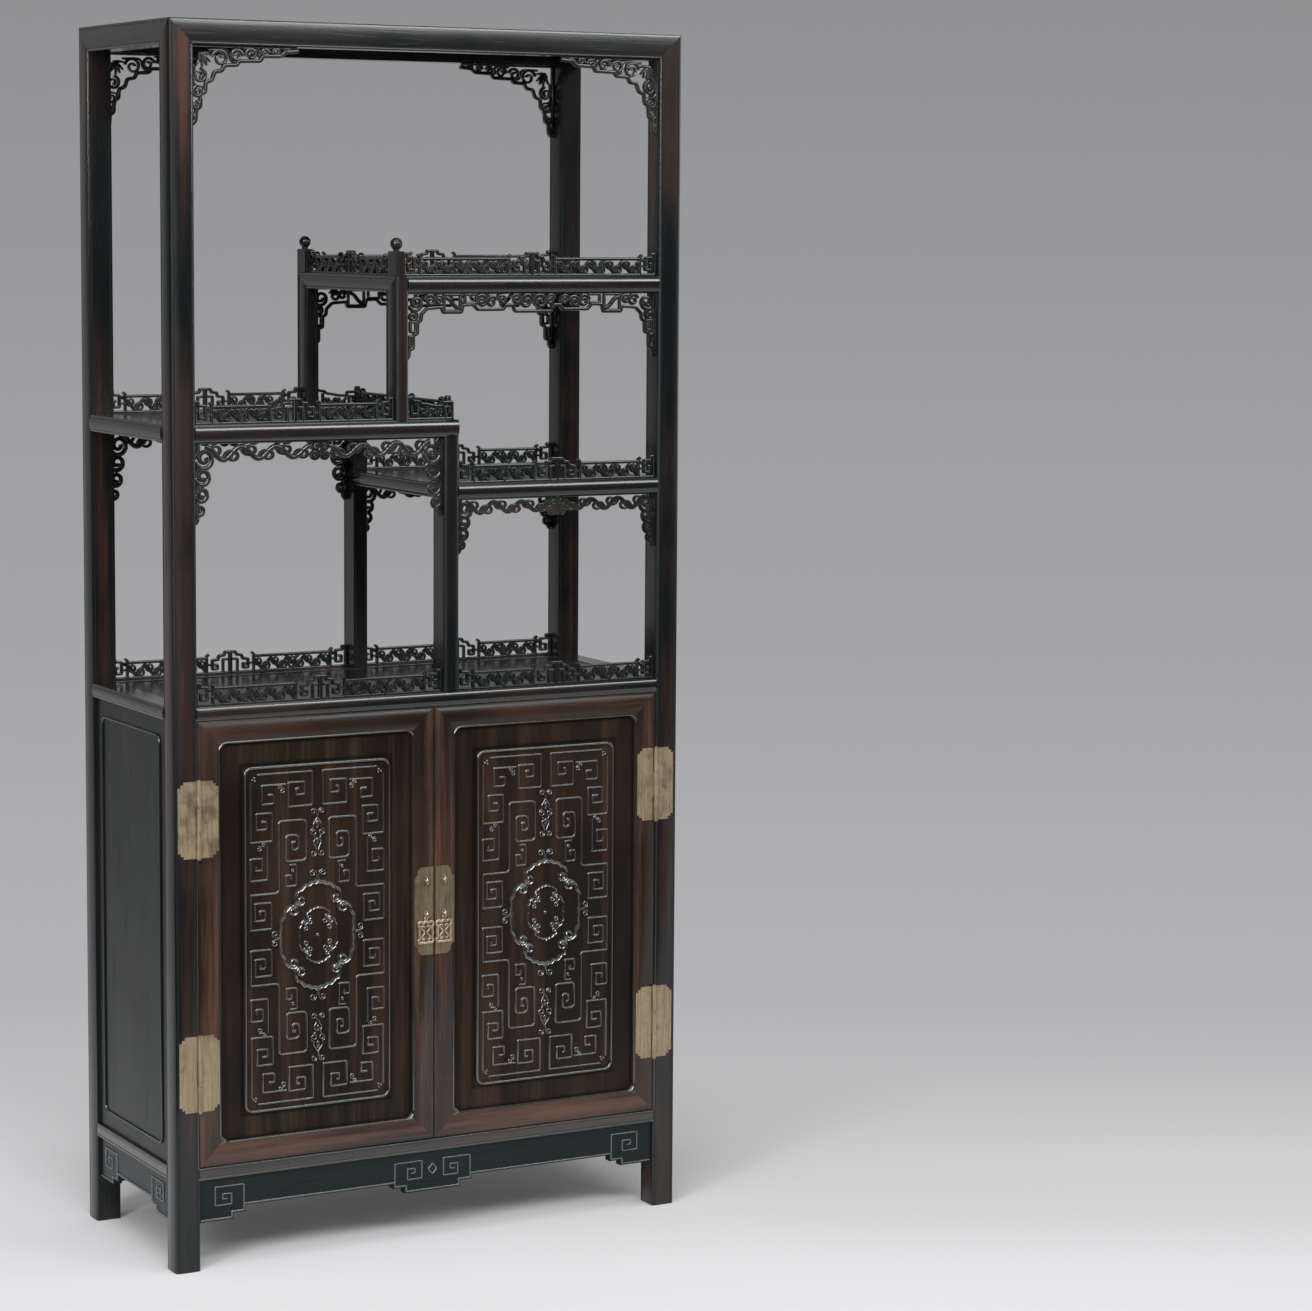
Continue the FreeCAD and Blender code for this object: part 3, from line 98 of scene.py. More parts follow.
class Graph:
    """A material's node tree, filled by methods that return wires."""

    def __init__(self, name: str) -> None:
        """Start a material with an empty node tree."""
        self.material = bpy.data.materials.new(name)
        self.material.use_nodes = True
        self.tree = self.material.node_tree
        self.tree.nodes.clear()

    def node(self, kind: str, settings: dict[str, Any], inputs: dict[Any, Any]) -> Any:
        """Add a node.

        Args:
            kind: the node's type name.
            settings: attributes, set before the sockets.
            inputs: values or wires by socket name or number.

        Returns:
            The new node.
        """
        made = self.tree.nodes.new(kind)
        for key, value in settings.items():
            setattr(made, key, value)
        for key, value in inputs.items():
            if isinstance(value, Wire):
                self.tree.links.new(value.socket, made.inputs[key])
            else:
                made.inputs[key].default_value = value
        return made

    def math(self, operation: str, *values: "Wire | float") -> Wire:
        """A Math node on one, two or three values."""
        made = self.node("ShaderNodeMath", {"operation": operation}, dict(enumerate(values)))
        return Wire(self, made.outputs[0])

    def ease(self, value: Wire, low: float, high: float, start: float = 0.0,
             finish: float = 1.0) -> Wire:
        """Carry a value smoothly from start to finish while it runs from low to high."""
        made = self.node("ShaderNodeMapRange", {"interpolation_type": "SMOOTHSTEP"},
                         {0: value, 1: low, 2: high, 3: start, 4: finish})
        return Wire(self, made.outputs[0])

    def place(self) -> Wire:
        """The point on the surface, in the object's own coordinates."""
        return Wire(self, self.node("ShaderNodeTexCoord", {}, {}).outputs["Object"])

    def split(self, vector: Wire) -> tuple[Wire, Wire, Wire]:
        """The three parts of a vector."""
        made = self.node("ShaderNodeSeparateXYZ", {}, {0: vector})
        return tuple(Wire(self, made.outputs[number]) for number in range(3))

    def scaled(self, vector: Wire, scale: Sequence[float]) -> Wire:
        """A vector stretched along each axis."""
        made = self.node("ShaderNodeMapping", {}, {"Vector": vector, "Scale": tuple(scale)})
        return Wire(self, made.outputs[0])

    def blend(self, share: "Wire | float", first: Any, second: Any, kind: str = "RGBA") -> Wire:
        """Mix two colours, or two vectors where kind is VECTOR."""
        names = {"RGBA": (6, 7, 2), "VECTOR": (4, 5, 1)}[kind]
        made = self.node("ShaderNodeMix", {"data_type": kind},
                         {0: share, names[0]: first, names[1]: second})
        return Wire(self, made.outputs[names[2]])

    def noise(self, vector: Wire, scale: float, detail: float = 4.0,
              roughness: float = 0.55) -> Wire:
        """Fractal noise from 0 to 1."""
        made = self.node("ShaderNodeTexNoise", {},
                         {"Vector": vector, "Scale": scale, "Detail": detail,
                          "Roughness": roughness})
        return Wire(self, made.outputs[0])

    def bump(self, height: Wire, strength: float, distance: float) -> Wire:
        """Turn a height into a normal."""
        made = self.node("ShaderNodeBump", {},
                         {"Height": height, "Strength": strength, "Distance": distance})
        return Wire(self, made.outputs[0])

    def finish(self, **sockets: Any) -> bpy.types.Material:
        """Close the tree with a Principled shader.

        Args:
            sockets: values or wires by socket name, with underscores for spaces.

        Returns:
            The finished material.
        """
        inputs = {key.replace("_", " "): value for key, value in sockets.items()}
        shader = self.node("ShaderNodeBsdfPrincipled", {}, inputs)
        self.node("ShaderNodeOutputMaterial", {}, {0: Wire(self, shader.outputs[0])})
        return self.material


class Grain(Enum):
    """Which way the fibres run on a piece."""

    UPRIGHT = "upright"
    ACROSS = "across"
    INWARD = "inward"
    RING = "ring"
    DOOR = "door"


# Places in metres that the woods' colours follow, all taken at the right-hand side
END_RAIL_Y = 0.1495
POST_CENTRE = (0.416, 0.1685)
DOOR_CENTRE = (0.1984, 0.5055)
DOOR_HALF = (0.1976, 0.3435)
OPENING_HALF = (0.1616, 0.3075)
TABLET_HALF = (0.1255, 0.2715)
# The colour of painted shade on a door panel, under its frame's edge and round its tablet
SHADE = (0.0016, 0.0016, 0.0016)
# The colour of painted shade in the grooves where beads meet faces
GROOVE_SHADE = (0.0012, 0.0014, 0.0015)
# Noises: scale, detail and roughness
STREAKS, PATCHES, PORES = (34.0, 6.0, 0.66), (3.2, 3.0), (190.0, 4.0, 0.6)
CLOUDS, SPOTS, STAINS, BRUSH = (26.0, 5.0, 0.62), (260.0, 3.0), (48.0, 4.0, 0.6), (420.0, 3.0)
COOL_TINT = (0.82, 1.0, 1.0, 1.0)
COAT_ROUGHNESS = 0.12
STRETCH: dict[Grain, Triple] = {
    Grain.UPRIGHT: (1.0, 1.0, 0.045),
    Grain.ACROSS: (0.045, 1.0, 1.0),
    Grain.INWARD: (1.0, 0.045, 1.0),
}


def opaque(colour: Sequence[float], share: float = 1.0) -> tuple[float, ...]:
    """A colour, darkened to a share of itself, with full alpha."""
    return (*(part * share for part in colour), 1.0)


def off_middle(axes: Sequence[Wire]) -> tuple[Wire, Wire]:
    """How far a point lies from its door's middle, across and up."""
    return abs(axes[0] - DOOR_CENTRE[0]), abs(axes[2] - DOOR_CENTRE[1])


@dataclass(frozen=True)
class Hardwood:
    """A waxed dark hardwood with streaks and fine pores along its grain."""

    name: str
    dark: Triple
    warm: Triple
    warmth: float
    gloss: float
    grain: Grain
    coat: float = 0.35
    grooves: tuple[tuple[int, float], ...] = ()
    warm_middle: bool = False
    shine: float = 0.3
    recess_shade: bool = False
    low_warmth: float = 1.0
    swell: float = 0.0
    swells: tuple[tuple[int, float, float], ...] = ()

    def fibres(self, graph: Graph) -> Wire:
        """The surface point squeezed along the grain.

        A ring frame's side members and a door's stiles take their own direction, by the
        mitre line between them.
        """
        point = graph.place()
        if self.grain in STRETCH:
            return graph.scaled(point, STRETCH[self.grain])
        x, y, z = graph.split(point)
        along = graph.scaled(point, STRETCH[Grain.ACROSS])
        if self.grain is Grain.RING:
            inner = END_RAIL_Y - abs(y)
            return graph.blend(inner > 0.0, along, graph.scaled(point, STRETCH[Grain.INWARD]),
                               "VECTOR")
        off_x, off_z = off_middle((abs(x), y, z))
        side, end = DOOR_HALF[0] - off_x, DOOR_HALF[1] - off_z
        return graph.blend(end > side, along, graph.scaled(point, STRETCH[Grain.UPRIGHT]),
                           "VECTOR")

    def groove_shade(self, graph: Graph, axes: tuple[Wire, Wire, Wire]) -> Wire:
        """How far a point lies in a groove, as painted shade: one in its bottom, none beside it."""
        near: Wire | float = 1.0
        for axis, place in self.grooves:
            near = graph.math("MINIMUM", abs(axes[axis] - place), near)
        return graph.ease(near, 0.0004, 0.0016, 1.0, 0.0)

    def middle(self, graph: Graph, axes: tuple[Wire, Wire, Wire]) -> Wire:
        """One along the middle of a corner post's faces, falling to 0.3 at its edges."""
        off = graph.math("MINIMUM", abs(axes[0] - POST_CENTRE[0]),
                         abs(axes[1] - POST_CENTRE[1]))
        return graph.ease(off, 0.007, 0.017, 1.0, 0.3)

    def swelling(self, graph: Graph, axes: tuple[Wire, Wire, Wire]) -> "Wire | float":
        """How far a rounded member has fallen away: none along its middle, one at an edge.

        Across each axis it is the square of the distance from the nearest middle, as a
        share of half the member's width. Axis 3 runs across a door frame, with mitres.
        """
        off_x, off_z = off_middle(axes)
        rim = graph.math("MAXIMUM", off_x - OPENING_HALF[0], off_z - OPENING_HALF[1])
        fall: Wire | float = 0.0
        for axis in sorted({entry[0] for entry in self.swells}):
            near: Wire | float = 1.0
            for other, middle, half in self.swells:
                if other == axis:
                    off = abs((*axes, rim)[axis] - middle) * (1 / half)
                    near = graph.math("MINIMUM", off, near)
            fall = near * near + fall
        return fall

    def depth(self, graph: Graph, axes: tuple[Wire, Wire, Wire]) -> Wire:
        """How dark the painted shade is on a door panel, under its frame's edge and round its
        tablet.
        """
        off_x, off_z = off_middle(axes)
        edge = graph.math("MINIMUM", OPENING_HALF[0] - off_x, OPENING_HALF[1] - off_z)
        foot = graph.math("MAXIMUM", off_x - TABLET_HALF[0], off_z - TABLET_HALF[1])
        return graph.math("MAXIMUM", graph.ease(edge, 0.001, 0.007, 0.6, 0.0),
                          graph.ease(abs(foot), 0.0005, 0.005, 0.7, 0.0))

    def build(self) -> bpy.types.Material:
        """Make the material.

        Returns:
            A material whose colour is the dark wood mixed with warm streaks by stretched
            noise, darkened in the pores, with painted shade in its grooves and round a door
            panel where it asks for them.
        """
        graph = Graph(self.name)
        fibres = self.fibres(graph)
        streaks = graph.ease(graph.noise(fibres, *STREAKS), 0.45, 0.66)
        patches = graph.ease(graph.noise(graph.place(), *PATCHES), 0.35, 0.68)
        pores = graph.ease(graph.noise(fibres, *PORES), 0.56, 0.72)
        warmth = (streaks * 0.7 + patches * 0.3) * self.warmth
        x, y, z = graph.split(graph.place())
        axes = (abs(x), abs(y), z)
        if self.low_warmth != 1.0:
            warmth = warmth * graph.ease(z, 0.9, 1.1, self.low_warmth, 1.0)
        # The warm colour stays in the middle of each post face and falls off towards its edges
        if self.warm_middle:
            warmth = warmth * self.middle(graph, axes) * (patches * 0.75 + 0.25)
        colour = graph.blend(graph.math("MINIMUM", warmth, 1.0), opaque(self.dark),
                             opaque(self.warm))
        colour = graph.blend(pores * 0.55, colour, opaque(self.dark, 0.3))
        rough = self.gloss + patches * 0.08 + pores * 0.14
        # Painted shade: the panel darkens under its frame's edge and round its tablet
        if self.recess_shade:
            colour = graph.blend(self.depth(graph, axes), colour, opaque(SHADE))
        # Painted shade: the grooves are darkened, and made rougher
        if self.grooves:
            groove_shade = self.groove_shade(graph, axes)
            colour = graph.blend(groove_shade * 0.9, colour, opaque(GROOVE_SHADE))
            rough = rough + groove_shade * 0.5
        height = pores * -0.08 + streaks * 0.025
        if self.swells:
            height = height - self.swelling(graph, axes) * self.swell
        relief = graph.bump(height, 1.0, MM)
        return graph.finish(Base_Color=colour, Roughness=rough, Normal=relief,
                            Specular_IOR_Level=self.shine, Specular_Tint=COOL_TINT,
                            Coat_Weight=self.coat, Coat_Roughness=COAT_ROUGHNESS,
                            Coat_IOR=1.35 + 0.5 * self.shine)


@dataclass(frozen=True)
class AgedBrass:
    """Dull antique brass with brown patina and fine upright brush marks."""

    name: str
    bright: Triple
    patina: Triple
    worn: float
    gloss: float

    def build(self) -> bpy.types.Material:
        """Make the material: bright metal under cloudy patina, rougher where it is dull."""
        graph = Graph(self.name)
        point = graph.place()
        clouds = graph.ease(graph.noise(point, *CLOUDS), 0.36, 0.64)
        spots = graph.ease(graph.noise(point, *SPOTS), 0.58, 0.74)
        stains = graph.ease(graph.noise(point, *STAINS), 0.56, 0.72)
        brush = graph.noise(graph.scaled(point, (1.0, 1.0, 0.05)), *BRUSH)
        dull = graph.math("MINIMUM", clouds * self.worn + spots * 0.4, 1.0)
        colour = graph.blend(dull, opaque(self.bright), opaque(self.patina))
        marks = graph.math("MINIMUM", graph.ease(brush, 0.42, 0.60) * 0.45 + stains * 0.4, 1.0)
        colour = graph.blend(marks, colour, opaque(self.patina, 0.6))
        rough = self.gloss + dull * 0.2 + brush * 0.1
        relief = graph.bump(brush + spots * -0.6, 0.25, 0.0002)
        return graph.finish(Base_Color=colour, Metallic=1.0 - dull * 0.35, Roughness=rough,
                            Normal=relief)


Finish = Hardwood | AgedBrass
DARK = (0.0042, 0.0056, 0.0060)
# Places of the grooves, where painted shade darkens the creases between beads and faces
POST_GROOVES = ((0, 0.401), (0, 0.431), (1, 0.1535), (1, 0.1835))
STEP_GROOVES = ((0, 0.021), (0, 0.038), (0, 0.049), (0, 0.061), (1, 0.1835))
RAIL_GROOVES = tuple((2, place) for place in (
    1.896, 1.866, 1.515, 1.498, 1.293, 1.275, 1.192, 1.177, 0.867, 0.854, 0.157, 0.145))
POST_SWELLS = tuple((axis, place, 0.019) for axis, place in enumerate(POST_CENTRE))
DOOR_SWELLS = ((3, 0.018, 0.018),)
WOODS: dict[str, Hardwood] = {
    "upright": Hardwood("wood_upright", DARK, (0.062, 0.027, 0.018), 1.0, 0.22, Grain.UPRIGHT,
                        0.4, POST_GROOVES, True, swell=1.0, swells=POST_SWELLS),
    "step": Hardwood("wood_step_post", DARK, (0.034, 0.015, 0.010), 0.7, 0.22, Grain.UPRIGHT,
                     0.4, STEP_GROOVES),
    "ring": Hardwood("wood_ring", DARK, (0.046, 0.019, 0.013), 0.45, 0.20, Grain.RING, 0.7,
                     RAIL_GROOVES, shine=0.45, low_warmth=2.2),
    "board": Hardwood("wood_board", (0.005, 0.0045, 0.0045), (0.026, 0.014, 0.010), 0.8, 0.24,
                      Grain.ACROSS, 0.25),
    "side": Hardwood("wood_side", (0.005, 0.006, 0.0055), (0.019, 0.014, 0.010), 0.6, 0.34,
                     Grain.UPRIGHT, 0.1),
    "door": Hardwood("wood_door_frame", (0.012, 0.007, 0.005), (0.084, 0.038, 0.023), 1.0, 0.24,
                     Grain.DOOR, 0.4, swell=3.6, swells=DOOR_SWELLS),
    "panel": Hardwood("wood_door_panel", (0.0085, 0.0056, 0.0036), (0.034, 0.0185, 0.0108), 1.0,
                      0.32, Grain.UPRIGHT, 0.0, shine=0.14, recess_shade=True),
    # The relief is lighter than the panel's ground: partly the worn tops of the ribs, partly a
    # painted highlight on them
    "relief": Hardwood("wood_relief", (0.016, 0.014, 0.011), (0.050, 0.034, 0.023), 0.8, 0.13,
                       Grain.UPRIGHT, 1.0, shine=0.75),
    # A little lighter and greyer than the posts' and rails' wood: a painted highlight along the
    # beads
    "line": Hardwood("wood_line", (0.008, 0.011, 0.012), (0.020, 0.018, 0.016), 0.5, 0.14,
                     Grain.ACROSS, 0.8, shine=0.6),
    # Lighter and greyer than the skirt's own wood: a painted highlight along its raised lines
    "skirt_line": Hardwood("wood_skirt_line", (0.010, 0.015, 0.016), (0.018, 0.019, 0.018), 0.5,
                           0.15, Grain.ACROSS, 1.0, shine=0.9),
    "carved": Hardwood("wood_carved", (0.006, 0.0065, 0.0065), (0.036, 0.026, 0.020), 0.8, 0.20,
                       Grain.ACROSS, 0.4, shine=0.5),
    "gallery": Hardwood("wood_gallery", (0.004, 0.0055, 0.0058), (0.022, 0.014, 0.011), 0.7, 0.20,
                        Grain.ACROSS, 0.35, shine=0.45),
    "skirt": Hardwood("wood_skirt", (0.004, 0.008, 0.009), (0.012, 0.012, 0.011), 0.4, 0.26,
                      Grain.ACROSS, 0.12, shine=0.2),
}
METALS: dict[str, AgedBrass] = {
    "plate": AgedBrass("brass_plate", (0.52, 0.42, 0.275), (0.30, 0.23, 0.145), 0.8, 0.34),
    "lock": AgedBrass("brass_lock", (0.30, 0.24, 0.145), (0.16, 0.125, 0.075), 0.8, 0.36),
    "ring": AgedBrass("brass_ring", (0.68, 0.55, 0.40), (0.38, 0.29, 0.20), 0.5, 0.28),
    "stud": AgedBrass("steel_stud", (0.52, 0.51, 0.49), (0.26, 0.24, 0.21), 0.5, 0.18),
}


class Workshop:
    """Makes each material once and hands it out."""

    def __init__(self) -> None:
        """Start with nothing made."""
        self.made: dict[str, bpy.types.Material] = {}

    def finish(self, finish: Finish) -> bpy.types.Material:
        """The material of a finish, made at its first use."""
        if finish.name not in self.made:
            self.made[finish.name] = finish.build()
        return self.made[finish.name]

    def dress(self, obj: bpy.types.Object, finish: Finish) -> None:
        """Give an object one material."""
        obj.data.materials.clear()
        obj.data.materials.append(self.finish(finish))


CAD_WOODS: tuple[tuple[str, str], ...] = (
    ("post_", "upright"), ("step_posts", "step"), ("newels", "step"), ("_door_frame", "door"),
    ("_door_panel", "panel"), ("side_panel", "side"), ("back_panel", "side"), ("_rails", "ring"),
    ("_panel", "board"), ("inner_shelf", "board"), ("skirt", "skirt"), ("_gallery", "carved"),
    ("galleries", "carved"), ("apron", "carved"), ("bracket", "carved"))
CAD_METALS: tuple[tuple[str, str], ...] = (
    ("hinge", "plate"), ("lock_plate", "lock"), ("staple", "stud"), ("pull", "ring"))


def dress_nodes(shop: Workshop) -> None:
    """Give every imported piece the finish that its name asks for."""
    for name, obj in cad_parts.items():
        metals = [METALS[key] for word, key in CAD_METALS if word in name]
        woods = [WOODS[key] for word, key in CAD_WOODS if word in name]
        shop.dress(obj, (metals + woods)[0])
        LOG.info("dressed %s", name)


# Drawing lines, and carrying a section along them


class Section(Enum):
    """The shape of a carved bar, cut across: shares of its half width and its thickness."""

    FRET = ((1.0, 0.4), (0.74, 0.84), (0.0, 1.0), (-0.74, 0.84), (-1.0, 0.4),
            (-1.0, -0.4), (-0.74, -0.84), (0.0, -1.0), (0.74, -0.84), (1.0, -0.4))
    RIB = ((1.0, -0.4), (0.95, 0.3), (0.6, 0.82), (0.0, 1.0), (-0.6, 0.82), (-0.95, 0.3),
           (-1.0, -0.4))
    FLAT = ((1.0, -0.4), (1.0, 0.6), (0.8, 1.0), (-0.8, 1.0), (-1.0, 0.6), (-1.0, -0.4))
    CUSHION = ((1.0, -0.15), (0.94, 0.12), (0.78, 0.39), (0.5, 0.75), (0.2, 0.96),
               (-0.2, 0.96), (-0.5, 0.75), (-0.78, 0.39), (-0.94, 0.12), (-1.0, -0.15))
    CHANNEL = ((1.0, -0.4), (0.93, 0.5), (0.68, 1.0), (0.34, 0.72), (0.0, 0.56), (-0.34, 0.72),
               (-0.68, 1.0), (-0.93, 0.5), (-1.0, -0.4))


@dataclass(frozen=True)
class Plane:
    """Where carved lines lie: a corner in millimetres, and which ways they run and rise."""

    corner: Triple
    along: Triple = (1.0, 0.0, 0.0)
    up: Triple = (0.0, 0.0, 1.0)

    def lift(self, flat: np.ndarray, out: np.ndarray) -> np.ndarray:
        """Points of the plane moved out of it, along the cross product of along and up."""
        along, up = np.array(self.along), np.array(self.up)
        place = flat[..., :1] * along + flat[..., 1:] * up + out[..., None] * np.cross(along, up)
        return (place + np.array(self.corner)) * MM


def soften(points: Sequence[Pair], radius: float, closed: bool = False,
           steps: int = 5) -> Path2:
    """Round a polyline's corners.

    Each corner becomes a quadratic arc that starts and ends on its two runs, no further
    from the corner than the radius or 0.45 of the shorter run.

    Args:
        points: the corners.
        radius: the rounding in millimetres.
        closed: whether the last corner joins the first.
        steps: points on each arc.

    Returns:
        The rounded line.
    """
    corners = np.array(points, float)
    before, after = np.roll(corners, 1, 0) - corners, np.roll(corners, -1, 0) - corners
    run_before, run_after = (np.linalg.norm(run, axis=1, keepdims=True) for run in (before, after))
    reach = np.minimum(radius, 0.45 * np.minimum(run_before, run_after))
    start, finish = corners + before / run_before * reach, corners + after / run_after * reach
    share = np.linspace(0.0, 1.0, steps)[:, None, None]
    arcs = ((1 - share) ** 2 * start + 2 * share * (1 - share) * corners
            + share ** 2 * finish).transpose(1, 0, 2)
    if closed:
        return arcs.reshape(-1, 2)
    return np.concatenate([corners[:1], arcs[1:-1].reshape(-1, 2), corners[-1:]])


def flow(points: Sequence[Pair], steps: int = 6) -> Path2:
    """A smooth line through points, by the cubic whose slopes come from the neighbours."""
    knots = np.array(points, float)
    padded = np.concatenate([2 * knots[:1] - knots[1:2], knots, 2 * knots[-1:] - knots[-2:-1]])
    p0, p1, p2, p3 = padded[:-3], padded[1:-2], padded[2:-1], padded[3:]
    share = np.linspace(0.0, 1.0, steps, endpoint=False)[:, None, None]
    curve = 0.5 * (2 * p1 + (p2 - p0) * share + (2 * p0 - 5 * p1 + 4 * p2 - p3) * share ** 2
                   + (3 * p1 - p0 - 3 * p2 + p3) * share ** 3)
    return np.concatenate([curve.transpose(1, 0, 2).reshape(-1, 2), knots[-1:]])


def curl(centre: Pair, radius: float | Pair, start: float,
         turns: float, inner: float = 0.3, count: int = 0) -> Path2:
    """A spiral from outside to inside.

    The angle runs evenly from the start, in degrees, through the turns, which are
    negative for clockwise, while the radius shrinks evenly to its inner share.
    """
    count = count or max(12, int(abs(turns) * 16))
    share = np.linspace(0.0, 1.0, count)
    angle = math.radians(start) + share * turns * 2 * math.pi
    reach = 1 - (1 - inner) * share
    wide, tall = radius if isinstance(radius, tuple) else (radius, radius)
    return np.stack([centre[0] + wide * reach * np.cos(angle),
                     centre[1] + tall * reach * np.sin(angle)], 1)


def loop(centre: Pair, wide: float, tall: float, count: int = 14) -> Path2:
    """The points of a closed ellipse, by cosine and sine of an even angle."""
    angle = np.linspace(0.0, 2 * math.pi, count, endpoint=False)
    return np.stack([centre[0] + wide * np.cos(angle), centre[1] + tall * np.sin(angle)], 1)


def laid(line: Path2, at: float, way: int) -> Path2:
    """A line reflected where the way is -1, then moved along to a place."""
    return line * (way, 1) + (at, 0.0)


MITRE_LIMIT = 0.7
BOSS_REACH = 0.09
SMOOTH_DEGREES = 48


def put_in_scene(name: str, data: Any) -> bpy.types.Object:
    """A new object at the origin, linked to the scene."""
    made = bpy.data.objects.new(name, data)
    bpy.context.scene.collection.objects.link(made)
    return made


class Carver:
    """Gathers carved bars into one mesh."""

    def __init__(self, name: str) -> None:
        """Start an empty piece."""
        self.name = name
        self.verts: list[np.ndarray] = []
        self.faces: list[list[int]] = []
        self.count = 0

    def bar(self, plane: Plane, line: Path2, half: float, thick: float,
            section: Section = Section.FRET, closed: bool = False, taper: float = 0.0,
            boss: float = 0.0, mitre: Pair = (0.0, 0.0)) -> None:
        """Carry a section along a flat line.

        Every point is the line's point plus its mitred normal times the section's width
        share, moved out of the plane by its height share times the thickness.

        Args:
            plane: where the line lies.
            line: the line's points in millimetres.
            half: half the bar's width.
            thick: half the thickness of a fret, or the height of a rib.
            section: the shape across.
            closed: whether the line's end joins its start.
            taper: the share of its width that is lost by the end.
            boss: how much wider it swells at the very end.
            mitre: how far its start and its end are cut aslant, as shares of its width.
        """
        forward = np.roll(line, -1, 0) - line
        if not closed:
            forward[-1] = forward[-2]
        forward = forward / np.maximum(np.linalg.norm(forward, axis=1, keepdims=True), 1e-9)
        back = np.roll(forward, 1, 0)
        if not closed:
            back[0] = forward[0]
        turn = np.array([[0.0, 1.0], [-1.0, 0.0]])  # a quarter turn to the right
        normal = (forward @ turn) + (back @ turn)
        spread = np.maximum(1 + np.sum(forward * back, 1, keepdims=True), MITRE_LIMIT)
        share = np.linspace(0.0, 1.0, len(line))[:, None]
        width = half * (1 - taper * share) + boss * np.exp(-((1 - share) / BOSS_REACH) ** 2)
        shape = np.array(section.value)
        flat = line[:, None, :] + (normal / spread * width)[:, None, :] * shape[None, :, :1]
        for end, slant in zip((0, -1), mitre):
            flat[end] += forward[end] * (width[end] * slant * shape[:, :1])
        out = np.broadcast_to(shape[:, 1] * thick, flat.shape[:2])
        self.cover(plane.lift(flat, out), closed)

    def cover(self, rings: np.ndarray, closed: bool = False, caps: int = 1) -> None:
        """Add rings of points, the faces between them and, unless closed, both end faces.

        Args:
            rings: the points by ring and place on the ring.
            closed: whether the last ring joins the first.
            caps: 1 or -1, the way that the first end face runs; the other runs against it.
        """
        rows, size = rings.shape[:2]
        self.verts.append(rings.reshape(-1, 3))
        row = np.arange(rows if closed else rows - 1)[:, None]
        col = np.arange(size)[None, :]
        after, across = (row + 1) % rows, (col + 1) % size
        quads = np.stack([row * size + col, row * size + across, after * size + across,
                          after * size + col], -1).reshape(-1, 4) + self.count
        self.faces.extend(quads.tolist())
        ends = np.arange(rows * size).reshape(rows, size)[[0, -1]] + self.count
        if not closed:
            self.faces += [ends[0, ::caps].tolist(), ends[1, ::-caps].tolist()]
        self.count += rows * size

    def curls(self, plane: Plane, table: Sequence[tuple[float, ...]], at: float, way: int,
              half: float, thick: float, inner: float, taper: float, boss: float) -> None:
        """Add a row of spirals, each given by its centre, radius, first angle and turns."""
        for x, z, radius, start, turns in table:
            ring = curl((x, z), radius, start, turns, inner)
            self.bar(plane, laid(ring, at, way), half, thick, taper=taper, boss=boss)

    def knob(self, plane: Plane, centre: Pair, wide: float, tall: float,
             high: float, rings: int = 5, around: int = 12) -> None:
        """A small dome: its radius falls by a cosine while its height climbs by a sine."""
        lean = np.linspace(0.0, math.pi / 2 * 0.94, rings)[:, None]
        angle = np.linspace(0.0, 2 * math.pi, around, endpoint=False)[None, :]
        flat = np.stack([centre[0] + wide * np.cos(lean) * np.cos(angle),
                         centre[1] + tall * np.cos(lean) * np.sin(angle)], -1)
        out = np.broadcast_to(high * np.sin(lean) - 0.3 * (lean == 0.0), flat.shape[:2])
        self.cover(plane.lift(flat, out), caps=-1)

    def finish(self, shop: Workshop, finish: Finish,
               replaced: Iterable[str] = (), slot: str = "dark_hardwood",
               body: str = "cabinet") -> None:
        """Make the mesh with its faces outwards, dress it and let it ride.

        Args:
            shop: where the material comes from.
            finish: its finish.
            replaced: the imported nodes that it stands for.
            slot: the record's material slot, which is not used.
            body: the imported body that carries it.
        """
        mesh = bpy.data.meshes.new(self.name)
        mesh.from_pydata(np.concatenate(self.verts).tolist(), [], self.faces)
        shell = bmesh.new()
        shell.from_mesh(mesh)
        bmesh.ops.recalc_face_normals(shell, faces=shell.faces)
        shell.to_mesh(mesh)
        shell.free()
        mesh.polygons.foreach_set("use_smooth", [True] * len(mesh.polygons))
        mesh.set_sharp_from_angle(angle=math.radians(SMOOTH_DEGREES))
        made = put_in_scene(self.name, mesh)
        shop.dress(made, finish)
        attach(made, body)
        if replaced:
            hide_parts(*replaced)
        LOG.info("%s: %d faces", self.name, len(mesh.polygons))


# The scrollwork's motifs


